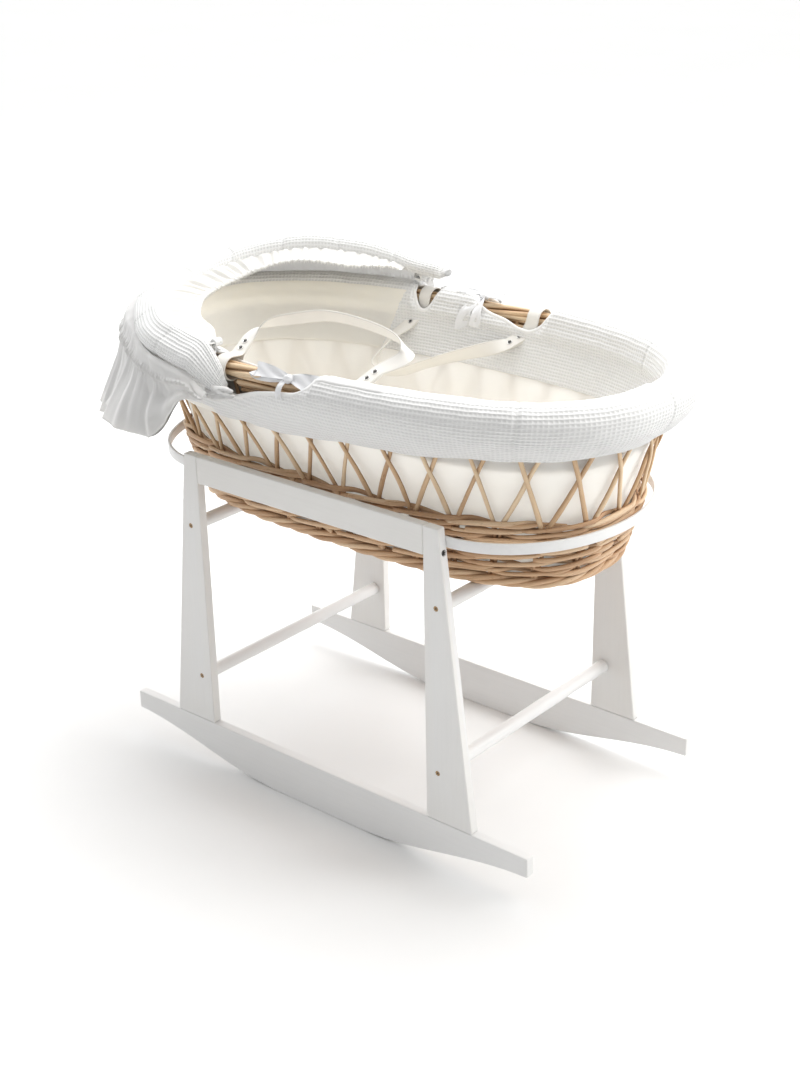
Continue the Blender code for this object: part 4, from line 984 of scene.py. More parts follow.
# ------------------------------------------------------------ padded cover
OUTER = np.array([(0.0, 0.6935), (0.0075, 0.6926), (0.0150, 0.6886), (0.0205, 0.6816), (0.0238, 0.6716), (0.0246, 0.6600),
                  (0.0228, 0.6480), (0.0190, 0.6365), (0.0140, 0.6262), (0.0092, 0.6178), (0.0056, 0.6110)])
INNER = np.array([(0.0, 0.6935), (-0.0070, 0.6925), (-0.0132, 0.6885), (-0.0172, 0.6812), (-0.0190, 0.6720), (-0.0192, 0.6620),
                  (-0.0184, 0.6520), (-0.0172, 0.6420), (-0.0160, 0.6250), (-0.0152, 0.6080), (-0.0148, 0.5960)])


def fine_profile(p, n):
    c = catmull(p, 12)
    L = np.concatenate([[0], np.cumsum(np.linalg.norm(np.diff(c, axis=0), axis=1))])
    w = np.linspace(0, L[-1], n)
    return np.stack([np.interp(w, L, c[:, 0]), np.interp(w, L, c[:, 1])], -1), L[-1]


# height of the cover's cut edge along each slot: x, outer edge, inner edge (0.70 is the uncut top)
SLOTS = {
    "near": np.array([(-0.145, 0.700, 0.700), (-0.134, 0.668, 0.688), (-0.118, 0.651, 0.684), (-0.097, 0.650, 0.684), (-0.072, 0.655, 0.682),
                      (-0.043, 0.663, 0.678), (0.004, 0.671, 0.677), (0.030, 0.675, 0.680), (0.048, 0.683, 0.688),
                      (0.062, 0.694, 0.698), (0.070, 0.700, 0.700)]),
    "far": np.array([(-0.150, 0.700, 0.700), (-0.141, 0.688, 0.676), (-0.128, 0.684, 0.664), (-0.112, 0.687, 0.668), (-0.100, 0.698, 0.690), (-0.094, 0.700, 0.700),
                     (-0.040, 0.700, 0.700), (-0.022, 0.688, 0.688), (0.000, 0.680, 0.679), (0.035, 0.677, 0.674), (0.060, 0.670, 0.666),
                     (0.085, 0.669, 0.664), (0.104, 0.678, 0.672), (0.116, 0.693, 0.688), (0.124, 0.700, 0.700)]),
}
HEM_SHIFT = np.array([(-0.45, -0.012), (-0.30, -0.020), (-0.09, -0.021), (0.14, -0.006), (0.31, 0.009), (0.43, 0.010)])


def build_cover():
    nu = 1060
    u = np.arange(nu) / nu
    rim, _ = wall(u, np.full(nu, RIM_Z), 0.0)
    slot = np.zeros(nu)
    cut_z = {"outer": np.full(nu, 0.700), "inner": np.full(nu, 0.700)}
    for name, tab in SLOTS.items():
        side = (rim[:, 1] < 0) == (name == "near")
        inside = side & (rim[:, 0] > tab[0, 0]) & (rim[:, 0] < tab[-1, 0])
        for col, which in ((1, "outer"), (2, "inner")):
            val = np.interp(rim[:, 0], tab[:, 0], tab[:, col])
            cut_z[which] = np.where(inside, val, cut_z[which])
    kern = np.hanning(13) / np.hanning(13).sum()
    for which in cut_z:
        z_ = cut_z[which]
        cut_z[which] = np.convolve(np.concatenate([z_[-6:], z_, z_[:6]]), kern, "valid")
    depth = np.maximum(0.700 - cut_z["outer"], 0.700 - cut_z["inner"])
    slot = smooth((depth - 0.0008) / 0.0040)
    hem_dz = np.interp(rim[:, 0], HEM_SHIFT[:, 0], HEM_SHIFT[:, 1])
    pieces = []
    edges = {}
    for which, prof, rows in (("outer", OUTER, 46), ("inner", INNER, 44)):
        fine, length = fine_profile(prof, 400)
        Ls = np.linspace(0, length, 400)
        # where the sheet starts: at the top, or further down inside a slot
        drop = 0.700 - cut_z[which]
        height = fine[0, 1] - np.maximum(drop - 0.0065, 0.0)
        v_at = np.interp(-height, -np.minimum.accumulate(fine[:, 1]), Ls)
        v0 = np.where(drop > 0.0065, v_at, 0.0) + np.minimum(drop, 0.0065) * 0.6
        v0 = v0 * (slot > 0.001)
        V = v0[:, None] + (length - v0)[:, None] * np.linspace(0, 1, rows)[None]
        off = np.interp(V, Ls, fine[:, 0])
        z = np.interp(V, Ls, fine[:, 1])
        over = np.minimum(V, 0.0)
        off = off - over
        z = z - 24.0 * over ** 2
        # section normal
        tx, tz = np.gradient(fine[:, 0]), np.gradient(fine[:, 1])
        l = np.hypot(tx, tz)
        nxp, nzp = -tz / l, tx / l
        if which == "inner":
            nxp, nzp = -nxp, -nzp
        if which == "outer":
            nx_, nz_ = np.interp(V, Ls, nxp), np.interp(V, Ls, nzp)
        else:
            nx_, nz_ = np.interp(V, Ls, -nxp) * -1, np.interp(V, Ls, nzp)
        # make the normal point away from the border
        dot = nx_ * np.where(which == "outer", 1.0, -1.0) + nz_ * 0.2
        flip = np.where(dot < 0, -1.0, 1.0)
        nx_, nz_ = nx_ * flip, nz_ * flip
        top_blend = np.clip(V / 0.010, 0, 1)
        # thickness: padded, thin and rounded at hem and slot edges
        s = u[:, None] * RIM_LEN
        if which == "outer":
            T = 0.0125 - 0.0030 * smooth((V - 0.060) / 0.035)
            hem_d = length - V
        else:
            T = 0.0120 - 0.0102 * smooth((V - 0.036) / 0.020)
            hem_d = length - V
        edge_d = V - v0[:, None]
        r = 0.0042
        hem_r = np.sqrt(np.clip(1 - (1 - np.clip(hem_d / r, 0, 1)) ** 2, 0.015, 1))
        slot_r = np.sqrt(np.clip(1 - (1 - np.clip(edge_d / r, 0, 1)) ** 2, 0.015, 1))
        slot_r = 1 - slot[:, None] * (1 - slot_r * (0.55 + 0.45 * smooth(edge_d / 0.016)))
        T = T * hem_r * slot_r
        # softness: slow swelling, small puckers near the hem, seams
        swell = 0.0011 * noise2(s * 4.1, V * 9.0, 11) + 0.0007 * noise2(s * 13, V * 24, 12)
        hem_wave = 0.0022 * wavy(u * 1.0, 13, (9, 17, 31), (0.5, 0.4, 0.3))[:, None] * smooth((V - 0.05) / 0.045)
        seam = np.zeros_like(V)
        for su in SEAMS:
            d = ((u[:, None] - su + 0.5) % 1.0 - 0.5) * RIM_LEN
            seam = seam + gauss(d, 0.0024) + 0.25 * gauss(d, 0.012) * np.cos(V * 900 + 1.0)
        T = T * (1 - 0.30 * np.clip(seam, -0.3, 1))
        off = off + nx_ * swell + (hem_wave if which == "outer" else 0)
        if which == "outer":
            z = z + hem_dz[:, None] * smooth((0.664 - z) / 0.055)
        z = z + nz_ * swell
        if which == "outer":
            z = z + smooth((V - 0.07) / 0.03) * wavy(u, 14, (5, 11, 23), (0.0012, 0.0010, 0.0006))[:, None]
        for lay, sgn in (("skin", 1.0), ("back", -1.0)):
            o2 = off + nx_ * T * 0.5 * sgn
            z2 = z + nz_ * T * 0.5 * sgn
            uu = np.broadcast_to(u[:, None], o2.shape)
            p, _n = wall(uu, np.clip(z2, 0.4, 0.704), o2)
            p[..., 2] = z2
            pieces.append((which, lay, p, V, s))
    nm = {(w, l): (p, V, s) for w, l, p, V, s in pieces}
    bag = Bag()

    def block(which, lay, flip):
        p, V, s = nm[(which, lay)]
        rows = p.shape[1]
        sg = 1.0 if which == "outer" else -1.0
        W = np.stack([np.broadcast_to(s * (WAFFLE_FIT), V.shape), V * sg, np.zeros_like(V)], -1)
        q = grid_quads(nu, rows, True, False)
        if flip:
            q = q[:, ::-1]
        at = bag.n
        bag.add(p.reshape(-1, 3), q, wuv=W.reshape(-1, 3))
        return at, rows
    a0, ra = block("outer", "skin", False)
    b0, rb = block("outer", "back", True)
    c0, rc = block("inner", "skin", True)
    d0, rd = block("inner", "back", False)

    def stitch(x0, rx, cx, y0, ry, cy, flip):
        i = np.arange(nu)
        j = (i + 1) % nu
        q = np.stack([x0 + i * rx + cx, x0 + j * rx + cx, y0 + j * ry + cy, y0 + i * ry + cy], -1)
        bag.q.append(q[:, ::-1] if flip else q)
        bag.mats.append((nu, 0, 0))
    stitch(a0, ra, ra - 1, b0, rb, rb - 1, False)      # hems
    stitch(c0, rc, rc - 1, d0, rd, rd - 1, True)
    # top: outside the slots skin meets skin and back meets back; inside them each half closes on itself
    i = np.arange(nu)
    j = (i + 1) % nu
    closed = (slot[i] < 0.02) & (slot[j] < 0.02)
    q1 = np.stack([a0 + i * ra, c0 + i * rc, c0 + j * rc, a0 + j * ra], -1)
    q2 = np.stack([b0 + i * rb, d0 + i * rd, d0 + j * rd, b0 + j * rb], -1)[:, ::-1]
    q3 = np.stack([a0 + i * ra, b0 + i * rb, b0 + j * rb, a0 + j * ra], -1)
    q4 = np.stack([c0 + i * rc, d0 + i * rd, d0 + j * rd, c0 + j * rc], -1)[:, ::-1]
    for q, keep in ((q1, closed), (q2, closed), (q3, ~closed), (q4, ~closed)):
        bag.q.append(q[keep])
        bag.mats.append((int(keep.sum()), 0, 0))
    ob = bag.build("padded_waffle_cover", [WAFFLE, COTTON])
    for poly in ob.data.polygons:
        c = poly.center
        if c.x - SX < -0.165 + 0.35 * (c.z - 0.66) * (1 if c.y > 0 else 0.3) and c.z < 0.6890:
            k = (abs((c.x - SX) / 0.4270)) ** 2.5 + (abs(c.y) / 0.2270) ** 2.5
            if k < 0.93:
                poly.material_index = 1
    # weld the line along the top where the two halves share their edge
    import bmesh
    bm = bmesh.new()
    bm.from_mesh(ob.data)
    bmesh.ops.remove_doubles(bm, verts=bm.verts, dist=0.00002)
    bmesh.ops.recalc_face_normals(bm, faces=bm.faces)
    bm.to_mesh(ob.data)
    bm.free()
    ob.data.shade_smooth()
    put(ob, "basket", ["padded_skirt"])

    # white tape folded over the slots' cut edges
    bag = Bag()
    for name, tab in SLOTS.items():
        for which in ("outer", "inner"):
            p, V, s = nm[(which, "skin")]
            pb = nm[(which, "back")][0]
            mid = (p[:, 0] + pb[:, 0]) / 2
            side = (mid[:, 1] < 0) == (name == "near")
            sel = np.where((0.700 - cut_z[which] > 0.0022) & side)[0]
            if len(sel) and sel[-1] - sel[0] > len(sel) + 400:
                sel = np.concatenate([sel[sel > nu // 2], sel[sel <= nu // 2]])
            line = mid[sel]
            inward = unit((p[sel, 4] + pb[sel, 4]) / 2 - line)
            line = line + inward * 0.0008
            nrm = unit(p[sel, 3] - pb[sel, 3])
            r1 = 0.0040 + 0.0003 * np.sin(np.arange(len(sel)) * 0.21)
            tube(bag, line, nrm, r1, 0.0027, 14, grain=False, wuv=True, seed=len(name))
    # the near tape runs on along the top of the cover towards the foot end
    p, V, s = nm[("outer", "skin")]
    pb = nm[("outer", "back")][0]
    sel = np.where((rim[:, 1] < 0) & (rim[:, 0] > 0.044) & (rim[:, 0] < 0.176))[0]
    x = rim[sel, 0]
    k = np.clip((x - 0.044) / 0.022, 0, 1)
    line = p[sel, 0] * (1 - smooth(k))[:, None] + p[sel, 4] * smooth(k)[:, None]
    nrm = unit(p[sel, 4] - pb[sel, 4])
    line = line - nrm * (0.0004 + 0.0026 * smooth((x - 0.160) / 0.016) + 0.0026 * smooth((0.052 - x) / 0.008))[:, None]
    tube(bag, line, nrm, 0.0042, 0.0024, 14, grain=False, wuv=True, seed=9)
    ob = bag.build("slot_binding_tape", BINDING)
    put(ob, "basket")
    return nm, slot, u


WAFFLE_FIT = round(RIM_LEN / WAFFLE_PITCH) * WAFFLE_PITCH / RIM_LEN
SEAMS = [rim_u(-0.082, True), rim_u(0.335, True), rim_u(-0.30, True), rim_u(0.33, False), rim_u(-0.05, False), 0.0]


# ------------------------------------------------------------ ribbons
def ribbon(bag, pts, across, widths, thick=0.0007, curl=0.0, seed=0.0):
    """A soft strip: centre points, direction across it and its half width at each point."""
    pts, across = np.asarray(pts, float), unit(np.asarray(across, float))
    m, k = len(pts), 9
    t = unit(np.gradient(pts, axis=0))
    n = unit(np.cross(t, across))
    c = np.linspace(-1, 1, k)
    s = np.concatenate([[0], np.cumsum(np.linalg.norm(np.diff(pts, axis=0), axis=1))])
    fold = (0.0009 * np.sin(c[None] * 4.2 + s[:, None] * 160 + seed) + curl * (c[None] ** 2 - 0.3)) * np.ones((m, 1))
    v = pts[:, None] + across[:, None] * (widths[:, None] * c[None])[..., None] + n[:, None] * fold[..., None]
    W = np.stack([np.broadcast_to(s[:, None], (m, k)), widths[:, None] * c[None], np.zeros((m, k))], -1)
    top = v + n[:, None] * thick / 2
    bot = v - n[:, None] * thick / 2
    at = bag.n
    bag.add(top.reshape(-1, 3), grid_quads(m, k), wuv=W.reshape(-1, 3))
    bag.add(bot.reshape(-1, 3), grid_quads(m, k)[:, ::-1], wuv=W.reshape(-1, 3))
    o = m * k
    rim = [i * k for i in range(m)], [i * k + k - 1 for i in range(m)], list(range(k)), [(m - 1) * k + j for j in range(k)]
    for r in rim:
        r = np.array(r)
        q = np.stack([at + r[:-1], at + r[1:], at + o + r[1:], at + o + r[:-1]], -1)
        bag.q.append(q)
        bag.mats.append((len(q), 0, 0))


def knot(bag, centre, size, axis, seed=0.0):
    """A pulled knot: a squashed ball with creases running round it."""
    a = unit(np.asarray(axis, float))
    up = np.array([0, 0, 1.0])
    b = unit(np.cross(a, up))
    c = np.cross(b, a)
    th = np.linspace(0, math.pi, 18)
    ph = np.linspace(0, TAU, 30, endpoint=False)
    T, P = np.meshgrid(th, ph, indexing="ij")
    crease = 1 + 0.10 * np.sin(P * 3 + T * 2 + seed) + 0.06 * np.sin(P * 7 + seed * 2)
    x = np.cos(T) * size * 1.05
    y = np.sin(T) * np.cos(P) * size * 0.85 * crease
    z = np.sin(T) * np.sin(P) * size * 0.75 * crease
    v = centre + x[..., None] * a + y[..., None] * b + z[..., None] * c
    W = np.stack([x, P * size, np.zeros_like(x)], -1)
    bag.add(v.reshape(-1, 3), grid_quads(18, 30, False, True), wuv=W.reshape(-1, 3))


def build_bows():
    for side, s, xm in (("near", -1, 0.004), ("far", 1, -0.022)):
        bag = Bag()
        y0 = s * rim_y(xm)
        zt = RIM_Z + 0.0122
        if side == "near":
            xm, y0, zt = 0.009, y0 - 0.0078, RIM_Z + 0.0050
        c = np.array([xm, y0 + s * 0.0010, zt + 0.0052])
        knot(bag, c, 0.0080, (1, 0, 0), seed=xm * 90)
        if side == "near":
            runs = [
                # left loop, doubled back on itself
                ([(xm, y0, zt + 0.004), (xm - 0.020, y0 - 0.001, zt + 0.0055), (xm - 0.044, y0 + 0.001, zt + 0.0045), (xm - 0.060, y0 + 0.003, zt + 0.0035),
                  (xm - 0.064, y0 + 0.003, zt + 0.0060), (xm - 0.050, y0 + 0.001, zt + 0.0085), (xm - 0.026, y0 - 0.001, zt + 0.0090), (xm - 0.004, y0, zt + 0.0075)],
                 (0.12, 0.55, 0.82), (0.0035, 0.0085, 0.0112, 0.0115, 0.0112, 0.0100, 0.0080, 0.0040)),
                # right tails
                ([(xm, y0, zt + 0.005), (xm + 0.018, y0 - 0.002, zt + 0.0060), (xm + 0.040, y0 - 0.003, zt + 0.0040), (xm + 0.062, y0 - 0.002, zt + 0.0030)],
                 (0.05, 0.55, 0.83), (0.0035, 0.0080, 0.0110, 0.0128)),
                ([(xm, y0 + 0.002, zt + 0.006), (xm + 0.016, y0 + 0.003, zt + 0.0080), (xm + 0.036, y0 + 0.004, zt + 0.0065), (xm + 0.054, y0 + 0.005, zt + 0.0052)],
                 (0.05, 0.70, 0.70), (0.0035, 0.0070, 0.0095, 0.0115)),
                # ends that go round the border
                ([(xm - 0.004, y0 - 0.004, zt + 0.003), (xm - 0.005, y0 - 0.0135, zt - 0.002), (xm - 0.006, y0 - 0.0165, zt - 0.011), (xm - 0.006, y0 - 0.0150, zt - 0.020)],
                 (1, 0, 0), (0.0035, 0.0048, 0.0055, 0.0055)),
                ([(xm + 0.004, y0 + 0.004, zt + 0.003), (xm + 0.006, y0 + 0.0135, zt - 0.002), (xm + 0.007, y0 + 0.0165, zt - 0.011), (xm + 0.007, y0 + 0.0165, zt - 0.022)],
                 (1, 0, 0), (0.0035, 0.0048, 0.0055, 0.0055)),
            ]
        else:
            runs = [
                ([(xm, y0, zt + 0.004), (xm - 0.018, y0 + 0.001, zt + 0.0065), (xm - 0.036, y0 - 0.002, zt + 0.0060), (xm - 0.042, y0 - 0.005, zt + 0.0085),
                  (xm - 0.030, y0 - 0.004, zt + 0.0100), (xm - 0.006, y0, zt + 0.0080)],
                 (0.2, 0.9, 0.2), (0.0035, 0.0070, 0.0085, 0.0085, 0.0070, 0.0040)),
                ([(xm, y0, zt + 0.004), (xm + 0.016, y0 + 0.002, zt + 0.0070), (xm + 0.032, y0 + 0.002, zt + 0.0060), (xm + 0.036, y0 - 0.001, zt + 0.0085),
                  (xm + 0.024, y0 - 0.002, zt + 0.0100), (xm + 0.005, y0, zt + 0.0080)],
                 (-0.2, 0.9, 0.2), (0.0035, 0.0065, 0.0080, 0.0080, 0.0065, 0.0040)),
                # tails hanging down inside
                ([(xm, y0 - 0.003, zt + 0.004), (xm - 0.006, y0 - 0.0150, zt - 0.001), (xm - 0.013, y0 - 0.0270, zt - 0.012), (xm - 0.019, y0 - 0.0300, zt - 0.028), (xm - 0.022, y0 - 0.0300, zt - 0.045)],
                 (0.9, 0.3, 0.2), (0.0035, 0.0065, 0.0085, 0.0100, 0.0110)),
                ([(xm, y0 - 0.003, zt + 0.004), (xm + 0.004, y0 - 0.0150, zt - 0.001), (xm + 0.006, y0 - 0.0260, zt - 0.012), (xm + 0.006, y0 - 0.0290, zt - 0.024), (xm + 0.004, y0 - 0.0290, zt - 0.036)],
                 (0.9, 0.2, 0.3), (0.0035, 0.0060, 0.0080, 0.0090, 0.0100)),
            ]
        for i, (pts, ac, w) in enumerate(runs):
            P = catmull(pts, 8)
            wd = catmull(np.array(w)[:, None], 8)[:, 0]
            ac = np.tile(np.array(ac, float), (len(P), 1))
            t = unit(np.gradient(P, axis=0))
            ac = unit(ac - t * (ac * t).sum(1, keepdims=True))
            ribbon(bag, P, ac, wd, curl=0.0014, seed=i * 2.0 + xm * 50)
        ob = bag.build(side + "_ribbon_bow", RIBBON, sharp=60)
        put(ob, "basket", [side + "_tie"])


# ------------------------------------------------------------ straps
STRAP_T, LOOP_R = 0.0022, 0.0158
STRAPS = {
    "near": dict(s=1, lean=math.radians(33.0), ends=(-0.120, 0.103), skews=(-0.10, 0.42),
                 arch=[(-0.121, 0.072), (-0.104, 0.090), (-0.072, 0.105), (-0.026, 0.121), (0.034, 0.122),
                       (0.098, 0.113), (0.134, 0.098), (0.142, 0.080)]),
    "far": dict(s=-1, lean=math.radians(-45.0), ends=(-0.125, 0.084), skews=(-0.45, -0.90),
                arch=[(-0.161, 0.080), (-0.168, 0.115), (-0.164, 0.134), (-0.144, 0.141), (-0.110, 0.134),
                      (-0.072, 0.112), (-0.026, 0.088), (0.022, 0.066)]),
}


def build_strap(side):
    c = STRAPS[side]
    s, lean, ends, skews = c["s"], c["lean"], c["ends"], c["skews"]
    axis_y = -s * sum(rim_y(x) for x in ends) / 2
    up = np.array([0, s * math.cos(lean), math.sin(lean)])
    across = np.array([0, -s * math.sin(lean), math.cos(lean)])
    ex = np.array([1.0, 0, 0])
    centre = np.array([0, axis_y, RIM_Z])
    lay = LOOP_R + STRAP_T / 2
    lower = -(STRAP_T + 0.0007)

    def place(x, h, n):
        return centre + ex * x + up * h + across * n

    def end_path(x, skew):
        def out(h, n):
            return place(x + skew * (h - 0.016), h, n)
        pts = [out(h, lower) for h in (0.0530, 0.047, 0.040, 0.034, 0.0295, 0.027)] + [out(0.0240, lower - 0.0010), out(0.021, lower - 0.0028)]
        for k in range(25):
            a = math.radians(-38 - 284 * k / 24)
            pts.append(place(x, lay * math.cos(a), lay * math.sin(a)))
        pts += [out(0.021, 0.0035), out(0.0240, 0.0012), out(0.027, 0.0), out(0.0295, 0.0), out(0.034, 0.0), out(0.040, 0.0), out(0.047, 0.0)]
        return pts

    x0, x1 = ends
    a_pts = end_path(x0, skews[0])
    b_pts = list(reversed(end_path(x1, skews[1])))
    mid_pts = [(x0 + skews[0] * (0.0530 - 0.016), 0.0530)] + c["arch"] + [(x1 + skews[1] * (0.0530 - 0.016), 0.0530)]
    sm = catmull(mid_pts, 12)
    m = len(sm)
    path, tw = list(a_pts), [0.0] * len(a_pts)
    for i, q in enumerate(sm):
        path.append(place(q[0], q[1], 0.0))
        f = i / (m - 1)
        tw.append(float(smooth(min(f, 1 - f) / 0.36)) * (1 if f < 0.5 else -1))
    path += b_pts
    tw += [0.0] * len(b_pts)
    path = np.array(path)
    # ease the small kinks between the runs
    for _ in range(3):
        inner = (path[:-2] + path[2:]) / 2
        k = np.ones((len(path) - 2, 1)) * 0.35
        path[1:-1] = path[1:-1] * (1 - k) + inner * k
    tan = unit(np.gradient(path, axis=0))
    ang = np.array(tw) * math.pi / 2
    wv = ex * np.cos(ang)[:, None] + across * np.sin(ang)[:, None]
    half = len(path) // 2
    # the second half turns the other way; keep one continuous width direction
    for i in range(1, len(wv)):
        if np.dot(wv[i], wv[i - 1]) < 0:
            wv[i] = -wv[i]
    wv = unit(wv - tan * (wv * tan).sum(1, keepdims=True))
    for i in range(1, len(wv)):
        if np.dot(wv[i], wv[i - 1]) < 0:
            wv[i] = -wv[i]
    tv = np.cross(tan, wv)
    bag = Bag()
    sec = rounded_rect(0.0110, STRAP_T / 2, 0.00085, 4)
    extra = np.linspace(-0.0095, 0.0095, 7)
    top = [(x, STRAP_T / 2) for x in extra[::-1]]
    bot = [(x, -STRAP_T / 2) for x in extra]
    sec = np.concatenate([sec[:4], top, sec[4:12], bot, sec[12:]])
    tip = np.ones(len(path))
    for i, w in enumerate((0.80, 0.93, 1.0)):
        tip[i] = tip[-1 - i] = w
    sweep_section(bag, path, wv, tv, sec, widths=tip)
    ob = bag.build(side + "_carry_strap", LEATHER, sharp=48)
    put(ob, side + "_strap", [side + "_handle"])
    # tubular rivets through both layers; the hollow centre is a disc of painted shade
    for end, x, skew in (("head", x0, skews[0]), ("foot", x1, skews[1])):
        for k, h in ((1, 0.0480), (2, 0.0355)):
            o = place(x + skew * (h - 0.016), h, 0.0)
            top_n = STRAP_T / 2 + 0.0001
            low_n = lower - STRAP_T / 2 - 0.0001
            bag = Bag()
            prof = [(top_n - 0.0004, 0.0015), (top_n - 0.0002, 0.0043), (top_n + 0.0006, 0.0043), (top_n + 0.0012, 0.0041), (top_n + 0.0014, 0.0036),
                    (top_n + 0.0012, 0.0031), (top_n + 0.0006, 0.0028), (top_n - 0.0003, 0.0026)]
            lathe(bag, o, across, prof, 32, 0)
            lathe(bag, o, across, [(top_n - 0.0005, 0.0026), (top_n + 0.00045, 0.00275), (top_n + 0.0005, 0.0020), (top_n + 0.0002, 0.0005)], 24, 1)
            prof = [(low_n + 0.0004, 0.0015), (low_n + 0.0002, 0.0041), (low_n - 0.0005, 0.0041), (low_n - 0.0012, 0.0034), (low_n - 0.0016, 0.0020), (low_n - 0.0017, 0.0008)]
            lathe(bag, o, across, prof[::-1], 32, 0)
            lathe(bag, o, across, [(low_n, 0.0014), (top_n, 0.0014)], 14, 0)
            name = "%s_%s_rivet_%d" % (side, end, k)
            ob = bag.build(name + "_cap", [NICKEL, RECESS_SHADE], sharp=45)
            put(ob, side + "_strap", [name])


# ------------------------------------------------------------ hood
PIVOT_X, PIVOT_Z = -0.142, 0.7075
HOOD_A, HOOD_B, HOOD_N = 0.4180, 0.2310, 2.35
HOOD_KEYS = np.array([(0.00, 0.0320, 0.6940, 44.0, 0.0255, 0.0105),
                      (0.05, 0.0325, 0.6975, 43.0, 0.0265, 0.0110),
                      (0.13, 0.0330, 0.7045, 40.0, 0.0265, 0.0112),
                      (0.26, 0.0110, 0.7130, 24.0, 0.0262, 0.0118),
                      (0.38, 0.0020, 0.7165, 12.0, 0.0250, 0.0130),
                      (0.50, 0.0000, 0.7240, 5.0, 0.0245, 0.0145),
                      (0.62, 0.0000, 0.7365, 0.0, 0.0245, 0.0165),
                      (0.75, 0.0000, 0.7480, 0.0, 0.0245, 0.0178),
                      (0.88, 0.0000, 0.7440, 0.0, 0.0240, 0.0170),
                      (0.96, 0.0000, 0.7350, 0.0, 0.0215, 0.0148),
                      (1.00, 0.0000, 0.7280, 0.0, 0.0195, 0.0130)])


def keyed(f, table=HOOD_KEYS):
    f = np.asarray(f, float)
    x = table[:, 0]
    i = np.clip(np.searchsorted(x, f) - 1, 0, len(x) - 2)
    i0, i3 = np.maximum(i - 1, 0), np.minimum(i + 2, len(x) - 1)
    span = (x[i + 1] - x[i])[:, None]
    t = ((f - x[i]) / (x[i + 1] - x[i]))[:, None]
    p1, p2 = table[i, 1:], table[i + 1, 1:]
    m1 = (table[i + 1, 1:] - table[i0, 1:]) / (x[i + 1] - x[i0])[:, None] * span
    m2 = (table[i3, 1:] - table[i, 1:]) / (x[i3] - x[i])[:, None] * span
    return (2 * t ** 3 - 3 * t ** 2 + 1) * p1 + (t ** 3 - 2 * t ** 2 + t) * m1 + (3 * t ** 2 - 2 * t ** 3) * p2 + (t ** 3 - t ** 2) * m2


def hood_stations(f):
    """Plan point, outward direction and section values at fractions f along the roll.

    f may run a little below 0 or above 1, past the roll's sleeves."""
    t, per = outline(HOOD_A, HOOD_B, HOOD_N, 2880)
    t = t[t[:, 0] <= -0.060]
    t = t[np.argsort(np.arctan2(t[:, 1], -t[:, 0]))]
    L = np.concatenate([[0], np.cumsum(np.hypot(np.diff(t[:, 0]), np.diff(t[:, 1])))])
    inside = np.where(t[:, 0] <= PIVOT_X - 0.010)[0]
    s0, s1 = L[inside[0]], L[inside[-1]]
    w = s0 + np.asarray(f, float) * (s1 - s0)
    P = np.stack([np.interp(w, L, t[:, k]) for k in range(4)], -1)
    K = keyed(np.clip(f, 0, 1))
    return P[:, :2], unit(P[:, 2:]), K, s1 - s0


def hood_point(f, q, z):
    xy, n, K, _ = hood_stations(f)
    return np.stack([xy[:, 0] + n[:, 0] * q, xy[:, 1] + n[:, 1] * q, z], -1)


